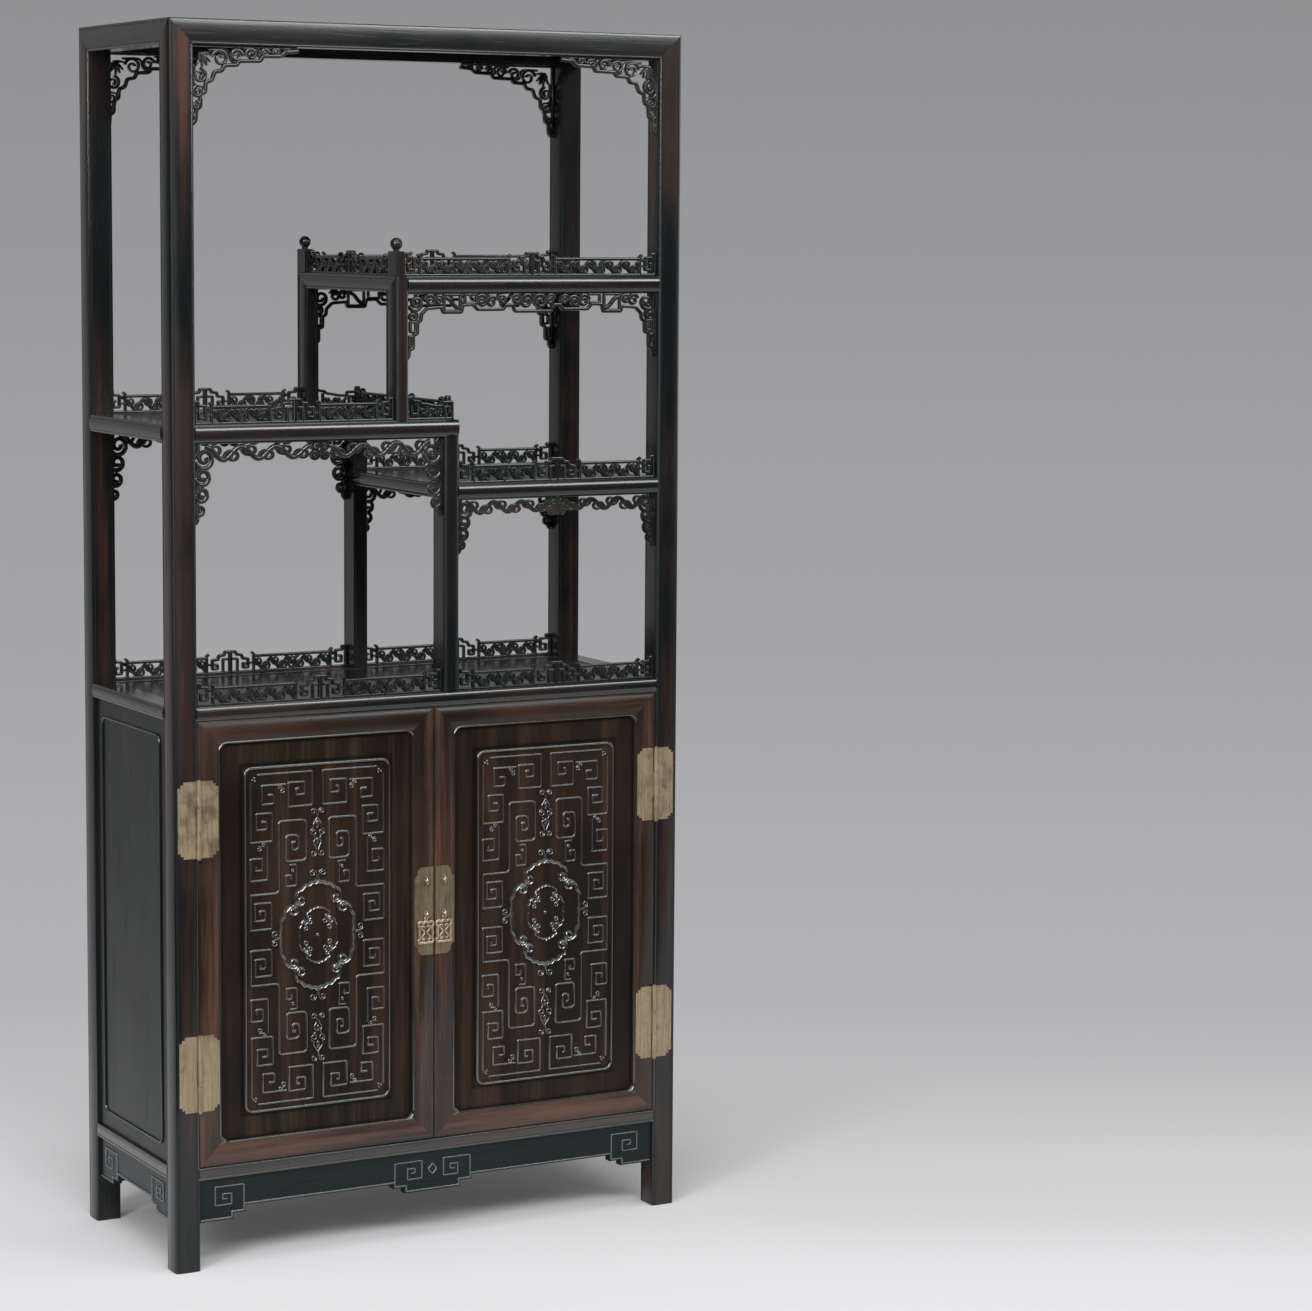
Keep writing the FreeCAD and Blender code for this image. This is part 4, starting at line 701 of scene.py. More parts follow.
@dataclass
class Vine:
    """A running scroll: a wavy stem with a spiral in every hollow.

    The stem is a cosine of shrinking height about a straight axis, and each spiral
    starts just past a crest and winds back under it.
    """

    start: Pair
    finish: Pair
    wave: float
    high: float
    low: float
    half: float = 2.1
    thick: float = 3.6
    phase: int = 1

    def turned(self, local: Path2) -> Path2:
        """Local points, along and off the axis, laid on the board."""
        axis = np.array(self.finish, float) - np.array(self.start, float)
        axis /= np.linalg.norm(axis)
        side = np.array([-axis[1], axis[0]])
        return np.array(self.start) + local[:, :1] * axis + local[:, 1:] * side

    def carve(self, work: Carver, plane: Plane) -> None:
        """Add the stem and its curls."""
        length = math.dist(self.start, self.finish)
        halves = max(2, round(length / self.wave * 2))
        step = length / halves
        along = np.linspace(0.0, length, halves * 8 + 1)
        swing = self.high + (self.low - self.high) * along / length
        stem = np.stack([along, self.phase * swing * 0.62 * np.cos(along / step * math.pi)], 1)
        work.bar(plane, self.turned(stem), self.half, self.thick)
        for number in range(halves):
            centre = (number + 0.5) * step
            side = self.phase * (1 if number % 2 else -1)
            reach = self.high + (self.low - self.high) * centre / length
            radius = (min(step * 0.46, reach * 0.95), reach * 0.62)
            ring = curl((centre, side * reach * -0.34), radius, 200.0 * side, -1.35 * side, 0.22)
            work.bar(plane, self.turned(ring), self.half * 0.8, self.thick * 0.95, taper=0.35,
                     boss=self.half * 0.6)


# The carved work, class by class


def both_ways(points: Sequence[Pair], length: float) -> list[Pair]:
    """Half of a board's outline, and the same reflected about the middle of its length."""
    return list(points) + [(length - x, z) for x, z in reversed(points)]


@dataclass
class Gallery:
    """A low pierced gallery that stands on a shelf.

    It has a square hook at each end, scroll panels under a straight bar with ears, and
    a stepped arch with hooked feet in the middle where it is long enough.
    """

    plane: Plane
    length: float
    sloping: bool = False
    panel_start: float = 30.0
    arch_reach: float = 41.0
    top_bar: float = 26.5
    arched_from: float = 262.0

    def put(self, work: Carver, line: Sequence[Pair], at: float, way: int,
            half: float) -> None:
        """Add one square-cornered bar, laid from a place to the right or to the left."""
        work.bar(self.plane, laid(soften(line, 1.0), at, way), half, 4.3)

    def hook(self, work: Carver, at: float, way: int) -> None:
        """The square hook beside a post, with the bar that ties it to its panel."""
        self.put(work, [(2.4, 1.8), (2.4, 34.5), (8.5, 34.5), (8.5, 29), (20, 28),
                        (20, 9.5), (10, 9.5), (10, 19), (14.5, 19)], at, way, 2.4)
        self.put(work, [(20, 15), (self.panel_start, 15.0)], at, way, 1.9)
        self.put(work, [(20, 26), (25.5, 26), (25.5, 21.5)], at, way, 1.9)

    def arch(self, work: Carver, at: float) -> None:
        """The stepped arch: a thick stem, square windows and a hook at each foot."""
        self.put(work, [(0, 1.8), (0, 35)], at, 1, 3.6)
        for way in (-1, 1):
            self.put(work, [(0, 35.2), (9, 35.2), (10.5, 30.5), (19.5, 29.5), (21.5, 23.5),
                            (31, 22.5), (31, 8.5), (22.5, 8.5), (22.5, 15), (26.5, 15)],
                     at, way, 2.5)
            self.put(work, [(12.5, 1.8), (12.5, 23.5), (5, 23.5)], at, way, 2.2)
            self.put(work, [(31, 15.5), (self.arch_reach, 15.5)], at, way, 1.9)

    def panel(self, work: Carver, low: float, high: float) -> None:
        """A panel between two places: ears, a top bar and a running scroll."""
        for at, way in ((low, 1), (high, -1)):
            self.put(work, [(0, 1.8), (0, 30), (-3.6, 32.5)], at, way, 2.3)
        self.put(work, [(low, self.top_bar), (high, self.top_bar)], 0.0, 1, 2.5)
        Vine((low + 1.0, 13.5), (high - 1.0, 13.5), 30.0, 12.5, 12.5, 2.7).carve(work, self.plane)
        middle = (low + high) / 2
        for lean in (-1, 1):
            leaf = flow([(middle, 3.0), (middle + lean * 7.0, 10.0), (middle + lean * 5.0, 18.0),
                         (middle + lean * 12.0, 25.0)])
            work.bar(self.plane, leaf, 2.2, 4.1)

    def carve(self, work: Carver) -> None:
        """Add every bar of the gallery."""
        length = self.length
        self.put(work, [(0.6, 1.3), (length - 0.6, 1.3)], 0.0, 1, 2.8)
        if self.sloping:
            self.put(work, [(2.4, 1.8), (2.4, 34.5), (8.5, 34.5), (12, 30), (22, 29),
                            (26, 25.5), (length * 0.62, 21.5), (length - 20.0, 21.0),
                            (length - 18.0, 27.0), (length - 2.4, 27.0), (length - 2.4, 1.8)],
                     0.0, 1, 2.4)
            self.put(work, [(20, 26), (20, 9.5), (10, 9.5), (10, 20)], 0.0, 1, 2.2)
            Vine((24, 11.5), (length - 20.0, 11.5), 19.0, 9.0, 8.5, 2.2).carve(work, self.plane)
            self.put(work, [(length - 15.0, 1.8), (length - 15.0, 20.0), (length - 8.0, 20.0),
                            (length - 8.0, 10.0)], 0.0, 1, 2.2)
            return
        self.hook(work, 0.0, 1)
        self.hook(work, length, -1)
        start = self.panel_start
        if length < self.arched_from:
            self.panel(work, start, length - start)
            return
        self.arch(work, length / 2)
        self.panel(work, start, length / 2 - self.arch_reach)
        self.panel(work, length / 2 + self.arch_reach, length - start)


def lining(length: float, drop: float) -> Path2:
    """An apron's edge strip: up one post, along under the rail and down the other post."""
    return np.array([(1.5, -drop), (1.5, -1.5), (length - 1.5, -1.5), (length - 1.5, -drop)])


@dataclass
class VineApron:
    """An apron of free running scroll: along the rail, then down both posts in curls."""

    plane: Plane
    length: float
    drop: float
    band: float = 24.0
    half: float = 2.3
    shell: bool = False
    centre: Rows = (
        (7, -10, 8.5, 200, -1.4), (9, -23, 7.5, 120, 1.3))

    def carve(self, work: Carver) -> None:
        """Add the edge strip, the running scrolls, the hanging curls and the middle."""
        plane, length, drop, band = self.plane, self.length, self.drop, self.band
        work.bar(plane, lining(length, drop - 4.0), 1.6, 3.6)
        middle = length / 2
        swing = band * 0.5
        for low, high in ((band * 0.7, middle - band * 0.5), (length - band * 0.7,
                                                              middle + band * 0.5)):
            Vine((low, -3.0 - swing), (high, -3.0 - swing), band * 1.9, swing * 1.15,
                 swing * 0.9, self.half, phase=1 if low < high else -1).carve(work, plane)
        for at, way in ((0, 1), (length, -1)):
            for z, reach, turns in ((-0.2, 0.56, 1.5), (-0.42, 0.46, 1.4), (-0.63, 0.4, 1.35),
                                    (-0.82, 0.28, 1.2)):
                radius = band * reach
                ring = curl((2.0 + radius, drop * z), (radius, radius * 1.04), 200.0, turns, 0.2)
                work.bar(plane, laid(ring, at, way), self.half * 0.95, 3.6, taper=0.25, boss=1.3)
                stem = flow([(3.0, drop * z + radius * 1.5),
                             (3.5 + radius * 0.3, drop * z + radius), (2.5, drop * z)])
                work.bar(plane, laid(stem, at, way), self.half * 0.9, 3.4)
            tip = flow([(3.0, -drop * 0.82), (6.5, -drop * 0.93), (2.5, -drop * 0.99)])
            work.bar(plane, laid(tip, at, way), self.half, 3.4, taper=0.4)
        for way in (-1, 1):
            work.curls(plane, self.centre, middle, way, self.half * 0.9, 3.8, 0.22, 0.2, 1.2)
        if self.shell:
            for number in range(-3, 4):
                lean = math.radians(number * 22.0)
                leaf = np.array([(middle, -12.0), (middle + 19.0 * math.sin(lean),
                                                    -12.0 - 19.0 * math.cos(lean))])
                work.bar(plane, leaf, 2.3, 4.0, boss=1.0)


@dataclass
class FretApron:
    """The upper apron: angular loops among small scrolls, with stepped hanging ends."""

    plane: Plane
    length: float
    drop: float = 105.0
    step: Points = (
        (2, -103), (6, -97), (6, -88), (13, -87), (13, -66),
        (20, -64), (20.5, -46), (26, -44), (27, -34), (37, -25),
        (62, -23), (64, -31), (96, -31), (98, -20), (116, -19),
        (124, -27))
    boxes: tuple[Quad, ...] = (
        (66, -29, 94, -4), (6, -84, 11, -68), (8, -61, 17.5, -46),
        (102, -17, 122, -4))
    scrolls: Rows = (
        (17, -17, 12.5, 200, 1.5), (42, -13, 9.5, 160, -1.4),
        (56, -12, 7.5, 20, 1.3), (12, -37, 8.5, 100, -1.4),
        (131, -14, 10.5, 170, -1.5), (148, -15, 9, 30, 1.4),
        (166, -12, 8, 190, -1.3))
    centre: Rows = (
        (12, -15, 12.5, 190, -1.5), (30, -12, 8.5, 20, 1.3))

    def carve(self, work: Carver) -> None:
        """Add the edge strip, the stepped lower line, the loops and the scrolls."""
        plane, length = self.plane, self.length
        work.bar(plane, lining(length, self.drop - 8.0), 1.6, 3.6)
        middle = length / 2
        run = both_ways([*self.step, (middle - 52.0, -27.0), (middle - 48.0, -20.0),
                         (middle - 36.0, -20.0), (middle - 32.0, -30.0)], length)
        work.bar(plane, soften(run, 2.5), 2.7, 4.0)
        for way, at in ((1, 0), (-1, length)):
            for x0, z0, x1, z1 in self.boxes:
                ring = soften([(x0, z0), (x0, z1), (x1, z1), (x1, z0)], 2.0, closed=True)
                work.bar(plane, laid(ring, at, way), 2.3, 3.8, closed=True)
            leaf = flow([(68, -8), (76, -12), (84, -21), (93, -27)])
            work.bar(plane, laid(leaf, at, way), 3.2, 4.0)
            work.curls(plane, self.scrolls, at, way, 2.8, 4.0, 0.22, 0.2, 1.2)
        for way in (-1, 1):
            work.curls(plane, self.centre, middle, way, 3.0, 4.1, 0.2, 0.2, 1.4)


@dataclass
class Bracket:
    """A scrolled bracket in a top corner, longer along the rail than down the post."""

    plane: Plane
    way: int
    long: float = 175.0
    drop: float = 120.0
    lower: Points = (
        (2, -118), (7.5, -112), (8.5, -96), (15, -92), (15.5, -74),
        (23, -70), (24, -56), (34, -52), (38, -40), (50, -38),
        (54, -30), (74, -29), (78, -23), (112, -22), (116, -15),
        (146, -14), (152, -8), (173, -6))
    scrolls: Rows = (
        (47, -20, 13.5, 170, -1.45), (73, -15.5, 10.5, 10, 1.35),
        (97, -13, 9.4, 190, -1.4), (119, -10.5, 7, 10, 1.3),
        (138, -8, 5.6, 190, -1.25), (154, -5.5, 3.8, 10, 1.2),
        (14, -46, 11, 80, -1.45), (11, -70, 8.6, 110, 1.35),
        (7.5, -90, 6.4, 80, -1.35), (5.5, -104, 4.2, 110, 1.2))
    stems: tuple[Points, ...] = (
        ((30, -8), (58, -8.5), (66, -24), (84, -22)),
        ((84, -4), (108, -5), (110, -16), (126, -15)),
        ((6, -32), (5, -58), (20, -64), (17, -80)))

    def carve(self, work: Carver) -> None:
        """Add the edge strips, the lower line, the leaf, the scrolls and their stems."""
        plane, way = self.plane, self.way
        edge = np.array([(1.6, -self.drop + 6.0), (1.6, -1.6), (self.long - 4.0, -1.6)])
        work.bar(plane, laid(edge, 0.0, way), 1.6, 3.6)
        work.bar(plane, laid(soften(self.lower, 3.0), 0.0, way), 3.1, 4.1)
        for lean in (-14, 22, 45, 68, 104):
            blade = flow([(15.0 + reach * math.cos(swing), -15.0 - reach * math.sin(swing))
                          for reach, swing in ((0, 0), (9.0, math.radians(lean)),
                                               (19.0, math.radians(lean) + 0.2))])
            work.bar(plane, laid(blade, 0.0, way), 4.0, 4.5, taper=0.75)
        work.curls(plane, self.scrolls, 0.0, way, 2.5, 4.3, 0.2, 0.3, 1.5)
        for stem in self.stems:
            work.bar(plane, laid(flow(stem), 0.0, way), 2.0, 3.9, taper=0.3)


@dataclass
class Skirt:
    """Raised lines on a skirt board: its stepped lower edge and square spirals."""

    plane: Plane
    length: float
    centred: bool = True
    corner_key: Points = (
        (74.5, -50), (74.5, -14), (27, -14), (27, -43), (54, -43), (54, -26),
        (39, -26), (39, -33.5), (47, -33.5))
    middle_key: Points = (
        (66, -48), (66, -15), (19, -15), (19, -43), (44, -43), (44, -26),
        (31, -26), (31, -33.5), (38.5, -33.5))

    def carve(self, work: Carver) -> None:
        """Add the bead along the lower edge, the spirals and the middle diamond."""
        plane, length = self.plane, self.length
        half = [(3, -64), (54.5, -64), (54.5, -55), (74.5, -55), (74.5, -45)]
        if self.centred:
            half += [(length / 2 - x, z) for x, z in
                     ((66, -45), (66, -52), (46, -52), (46, -61.5))]
        run = both_ways(half, length)
        work.bar(plane, soften(run, 1.0), 1.6, 2.0, Section.RIB)
        for way, at in ((1, 0), (-1, length)):
            self.spiral(work, self.corner_key, at, way)
        if self.centred:
            for way in (1, -1):
                self.spiral(work, self.middle_key, length / 2, way)
            ring = soften(loop((length / 2, -30.0), 7.5, 8.5, 4), 0.8, closed=True)
            work.bar(plane, ring, 1.4, 1.8, Section.RIB, closed=True)

    def spiral(self, work: Carver, key: Sequence[Pair], at: float,
               way: int) -> None:
        """Add one square spiral, laid from a place to the right or to the left."""
        work.bar(self.plane, laid(soften(key, 1.2), at, way), 1.5, 2.0, Section.RIB)


@dataclass
class DoorCarving:
    """The low relief of a door's tablet: square spirals round a lobed medallion.

    It is drawn for one quarter, across from the middle and up from the middle, and
    reflected into the other three.
    """

    plane: Plane
    keys: tuple[Points, ...] = (
        ((101, 256.5), (8.8, 256.5), (8.8, 203.6), (48.7, 203.6), (48.7, 241),
         (21.8, 241), (21.8, 221.4), (35.7, 221.4), (35.7, 231), (31, 231)),
        ((53, 239), (92.7, 239), (92.7, 210), (73.6, 210), (73.6, 224),
         (83, 224)),
        ((111.4, 246), (111.4, 152), (76.2, 152), (76.2, 196), (102, 196),
         (102, 171), (85, 171), (85, 183), (94, 183)),
        ((84, 146), (84, 92.5), (112, 92.5), (112, 126.5), (92.7, 126.5),
         (92.7, 108), (103, 108), (103, 116)),
        ((47, 113), (35.8, 113), (35.8, 80), (52.8, 80), (52.8, 97),
         (44.5, 97), (44.5, 89)),
        ((112, 70.5), (112, 16), (77.7, 16), (77.7, 57), (104.7, 57),
         (104.7, 30), (88, 30), (88, 45), (96.5, 45), (96.5, 38)),
    )
    hook: Points = (
        (112, 70.5), (65, 70.5), (65, 182), (19.2, 182), (19.2, 118.6),
        (52.8, 118.6), (52.8, 159), (32, 159), (32, 136), (42.5, 136),
        (42.5, 148), (37.5, 148))
    small: tuple[tuple[float, float, float, float, float], ...] = (
        (58.5, 229, 4.6, 60, 1.3), (63, 235, 3.4, 200, -1.2),
        (97, 141.5, 4.4, 60, 1.3), (90, 147, 3.4, 200, -1.2),
        (42, 104, 2.6, 60, 1.2),
    )
    pendant: tuple[Points, ...] = (
        ((0, 184.5), (3, 179.5), (6.5, 174), (7.2, 168)),
        ((6, 155.5), (4, 150), (6.5, 145.5), (3.5, 139), (1.5, 133.5)))

    def medallion(self, work: Carver, size: float, half: float, high: float,
                  signs: tuple[int, int]) -> None:
        """One quarter of a lobed ring: a wavy upper and side band that end in curls."""
        upper = flow([(0, 86), (4.5, 82), (10, 82.5), (15, 79), (21.5, 78.5),
                      (28, 72.5), (34.5, 69.5), (37.6, 62)], 4)
        lower = flow([(60, 0), (61.5, 8), (60.3, 17), (61, 25), (56.3, 33),
                      (54.5, 40), (48.5, 46)], 4)
        for band, centre, start, turns in ((upper, (30, 56), 0.0, -1.3),
                                           (lower, (42, 41), 90.0, 1.3)):
            line = np.concatenate([band, curl(centre, 8.2, start, turns, 0.25)])
            work.bar(self.plane, line * size * np.array(signs), half, high, Section.CHANNEL,
                     taper=0.4, boss=0.3 * half)

    def forks(self, work: Carver, signs: tuple[int, int]) -> None:
        """One half of each forked curl: over and beside the medallion, and on the pendant."""
        for stem, centre, radius, start, turns in (
            ([(0.5, 86), (1.4, 91), (2.4, 96)], (8.2, 97), 5.7, 180.0, -1.3),
            ([(62, 0.6), (67, 1), (71, 1.8)], (72, 7.4), 5.4, -90.0, 1.3),
            ([(0.5, 184), (1.3, 188.5), (1.9, 192.5)], (6.8, 193.5), 4.9, 180.0, -1.25),
            ([(1.2, 134), (1.7, 131), (1.9, 128.5)], (6.8, 128), 4.9, 180.0, 1.25),
            ([(7.2, 168), (7, 167.6), (6.6, 167.4)], (6.3, 161.5), 5.9, 88.0, -1.3),
        ):
            line = np.concatenate([flow(stem, 3), curl(centre, radius, start, turns, 0.3)])
            work.bar(self.plane, line * np.array(signs), 1.5, 2.6, Section.RIB, taper=0.25,
                     boss=0.8)

    def border(self, work: Carver, corner: Pair, radius: float, half: float,
               high: float) -> None:
        """A bead round the tablet or the frame's opening, with rounded corners."""
        across, up = corner
        ring = soften([(-across, -up), (-across, up), (across, up), (across, -up)], radius,
                      closed=True, steps=10)
        work.bar(self.plane, ring, half, high, Section.RIB, closed=True)

    def carve(self, work: Carver) -> None:
        """Add the four quarters, the beads and the flower in the middle."""
        plane = self.plane
        for signs in ((1, 1), (-1, 1), (1, -1), (-1, -1)):
            flip = np.array(signs)
            for key in self.keys:
                work.bar(plane, soften(key, 2.0) * flip, 1.95, 2.4, Section.RIB, boss=0.5)
            work.bar(plane, soften(self.hook, 6.0) * flip, 2.05, 2.5, Section.RIB, boss=0.6)
            for x, z, radius, start, turns in self.small:
                work.bar(plane, curl((x, z), radius, start, turns, 0.25) * flip, 1.2, 1.8,
                         Section.RIB, boss=0.5)
            for x, z in ((104.5, 251.5), (108, 248.5), (103.5, 247)):
                work.knob(plane, (x * signs[0], z * signs[1]), 2.2, 2.2, 1.8)
            self.medallion(work, 1.0, 4.0, 3.0, signs)
            self.medallion(work, 0.52, 2.6, 2.6, signs)
            for centre, start, turns in (((12.5, 21.5), 30.0, -1.2), ((20.5, 11.5), 60.0, 1.2)):
                work.bar(plane, curl(centre, 4.4, start, turns, 0.3) * flip, 1.5, 2.5,
                         Section.RIB, boss=0.6)
            self.forks(work, signs)
            for line in self.pendant:
                work.bar(plane, flow(line, 4) * flip, 1.6, 2.6, Section.RIB)
            work.bar(plane, np.array([(163, 301), (155, 309)]) * flip, 3.2, 3.05,
                     Section.FLAT)
        self.border(work, (121.1, 267), 14.0, 2.6, 3.2)
        self.border(work, (163.6, 309.5), 15.0, 2.3, 4.8)
        for side in (-1, 1):
            for z, wide, tall in ((173, 3.4, 7), (147, 3, 6)):
                work.knob(plane, (0.0, z * side), wide, tall, 2.4)
        work.knob(plane, (0, 0), 3.4, 3.4, 2.6)


@dataclass
class Pull:
    """A pierced brass drop that hangs from its staple: a lobed frame round two scrolls."""

    side: str
    way: int
    across: float = 15.7
    face: float = -191.3
    low: float = 475.0
    plate: float = -190.0
    studs: Pair = (575, 521.5)
    frame_half: Points = (
        (0, 36.6), (4.6, 33), (9, 35.8), (12.6, 34), (12.9, 30), (10.6, 26.5),
        (11.8, 17.5), (10.6, 8.5), (13, 5.5), (11, 1.6), (6.4, 2.6), (0, 1.3))

    def build(self, shop: Workshop) -> None:
        """Make the drop and let it swing with its body."""
        plane = Plane((self.across * self.way, self.face, self.low))
        work = Carver(f"{self.side}_openwork_pull")
        frame_line = list(self.frame_half) + [(-x, z) for x, z in self.frame_half[-2:0:-1]]
        work.bar(plane, soften(frame_line, 2.2, closed=True), 1.9, 1.0, closed=True)
        work.bar(plane, loop((0, 40), 2.5, 2.6), 1.0, 1.0, closed=True)
        for way in (-1, 1):
            strand = flow([(2.4, 26.2), (4.6, 28.8), (7, 27.4), (6.4, 23.6), (2, 18),
                           (6.2, 12.6), (7, 8.6), (4.6, 6.6), (2.4, 9.2)])
            work.bar(plane, strand * np.array((way, 1)), 1.2, 0.8, boss=0.7)
        work.finish(shop, METALS["ring"], [f"{self.side}_pull"], "antique_brass",
                    f"{self.side}_pull")
        studs = Carver(f"{self.side}_studs")
        for level in self.studs:
            studs.knob(Plane((self.across * self.way, self.plate, level)), (0.0, 0.0), 4.0, 4.2,
                       7.0, 7, 16)
        studs.finish(shop, METALS["stud"], (), "antique_brass", f"{self.side}_door")


# The under and the upper edge of each ring of rails, and the posts' inner faces
HEAD, UPPER, MIDDLE, LOWER, DECK, BASE = (
    (1862, 1900), (1494, 1519), (1271, 1297), (1173, 1196), (850, 871),
    (141, 161))
BAY_X, BAY_Y = 397.0, 149.5
SIDES = (("left", -1), ("right", 1))


@dataclass
class FrameBeads:
    """Thin raised beads along the edges of the posts and rails, seen as bright lines."""

    inner_x: float = 399.2
    inner_y: float = 151.7
    front: float = 187.1
    end: float = 434.6
    board: float = 431.2
    step: float = 2.2
    half: float = 1.25
    high: float = 1.3

    def rail(self, low: float, high: float,
             level: Pair) -> list[Quad]:
        """The two lines of a rail between two places, from its under and upper edge."""
        return [(low, z, high, z) for z in (level[0] + self.step, level[1] - self.step)]

    def upright(self, places: Iterable[float], low: float,
                high: float) -> list[Quad]:
        """Lines that stand at places from one height to another."""
        return [(x, low, x, high) for x in places]

    def whole(self, reach: float) -> list[Quad]:
        """The lines that every side has: beside its two posts, and its three whole rails."""
        return (self.upright((-reach, reach), DECK[1], HEAD[0])
                + self.upright((-reach, reach), BASE[1], DECK[0])
                + self.rail(-reach, reach, HEAD)[:1] + self.rail(-reach, reach, DECK)
                + self.rail(-reach, reach, BASE))

    def lay(self, work: Carver, plane: Plane,
            lines: Iterable[Quad]) -> None:
        """Add straight beads on one face of the cabinet."""
        for x0, z0, x1, z1 in lines:
            work.bar(plane, np.array([(x0, z0), (x1, z1)]), self.half, self.high, Section.RIB)

    def build(self, shop: Workshop) -> None:
        """Lay the beads on the four faces."""
        work = Carver("frame_beads")
        x, y = self.inner_x, self.inner_y
        face = (self.whole(x)
                + self.rail(-47.0, x, UPPER) + self.rail(-x, 40.0, MIDDLE)
                + self.rail(40.0, x, LOWER)
                + self.upright((-62.8, -47.2), MIDDLE[1], UPPER[0])
                + self.upright((19.2, 39.8), DECK[1], MIDDLE[0]))
        mirrored = [(-x0, z0, -x1, z1) for x0, z0, x1, z1 in face]
        self.lay(work, Plane((0.0, -self.front, 0.0)), face)
        self.lay(work, Plane((0.0, self.front, 0.0), (-1.0, 0.0, 0.0)), mirrored)
        outline = soften([(-121, 189), (-121, 822), (121, 822), (121, 189)],
                         12.0, closed=True)
        for way, levels in ((-1, (MIDDLE,)), (1, (UPPER, LOWER))):
            along = (0.0, float(way), 0.0)
            lines = self.whole(y) + [line for level in levels for line in self.rail(-y, y, level)]
            self.lay(work, Plane((self.end * way, 0.0, 0.0), along), lines)
            work.bar(Plane((self.board * way, 0.0, 0.0), along), outline, 1.5, 1.9,
                     Section.RIB, closed=True)
        work.finish(shop, WOODS["line"])


@dataclass
class RoundedFaces:
    """Low cushions that round the outer faces of the posts, the rails and the door frames.

    Across its member each one is a parabola: nothing at the edges, highest in the middle.
    """

    front: float = 187.5
    end: float = 435.0
    post: Triple = (416, 168.5, 19)
    rails: tuple[tuple[float, float, float, float, float], ...] = (
        (-45.0, BAY_X, *UPPER, 3.4), (-BAY_X, 42.0, *MIDDLE, 3.4), (42.0, BAY_X, *LOWER, 3.2),
        (-BAY_X, BAY_X, *DECK, 2.6), (-BAY_X, BAY_X, *BASE, 0.5))
    head: Pair = (1881, 1.1)
    steps: tuple[Quad, ...] = (
        (29.5, 12.5, DECK[1], MIDDLE[1]), (-55.0, 10.0, MIDDLE[1], UPPER[1]))
    frame_middle: Triple = (198.4, 505.5, 18)
    frame_reach: Pair = (179.6, 325.5)

    def strip(self, work: Carver, plane: Plane, run: Sequence[Pair], half: float,
              high: float, closed: bool = False, mitre: Pair = (0, 0)) -> None:
        """Lay one cushion along the middle of a face."""
        work.bar(plane, np.array(run, float), half, high, Section.CUSHION, closed, mitre=mitre)

    def sides(self) -> tuple[tuple[Plane, bool, int], ...]:
        """The four outer planes, whether each is an end, and which way it runs."""
        return ((Plane((0.0, -self.front, 0.0)), False, 1),
                (Plane((0.0, self.front, 0.0), (-1.0, 0.0, 0.0)), False, -1),
                (Plane((-self.end, 0.0, 0.0), (0.0, -1.0, 0.0)), True, -1),
                (Plane((self.end, 0.0, 0.0), (0.0, 1.0, 0.0)), True, 1))

    def build(self, shop: Workshop) -> None:
        """Round the posts, the rails and the step posts, then both door frames."""
        posts, rails, steps = (Carver(name) for name in (
            "rounded_posts", "rounded_rails", "rounded_step_posts"))
        inner = self.post[1] - self.post[2]
        level, swell = self.head
        for plane, is_end, way in self.sides():
            middle = self.post[1] if is_end else self.post[0]
            for at, slant in ((-middle, 1.0), (middle, -1.0)):
                self.strip(posts, plane, [(at, 0.0), (at, level)], self.post[2], 1.4,
                           mitre=(0.0, slant))
            self.strip(rails, plane, [(-middle, level), (middle, level)], self.post[2], swell,
                       mitre=(-1, 1))
            for low, high, under, over, crown in self.rails:
                place, half = (under + over) / 2, (over - under) / 2
                reach = low if plane.corner[0] < 0 else high
                if not is_end:
                    self.strip(rails, plane, [(way * low, place), (way * high, place)], half, crown)
                elif abs(reach) == BAY_X and reach * plane.corner[0] > 0:
                    self.strip(rails, plane, [(-inner, place), (inner, place)], half, crown)
            if not is_end:
                for at, half, low, high in self.steps:
                    self.strip(steps, plane, [(way * at, low), (way * at, high)], half, 1.5)
        for work, wood in ((posts, "upright"), (rails, "ring"), (steps, "step")):
            work.finish(shop, WOODS[wood])
        across, up = self.frame_reach
        ring = [(-across, -up), (-across, up), (across, up), (across, -up)]
        for side, way in SIDES:
            work = Carver(f"{side}_rounded_frame")
            plane = Plane((self.frame_middle[0] * way, -self.front, self.frame_middle[1]))
            self.strip(work, plane, ring, self.frame_middle[2], 1.1, closed=True)
            work.finish(shop, WOODS["door"], slot="red_hardwood", body=f"{side}_door")


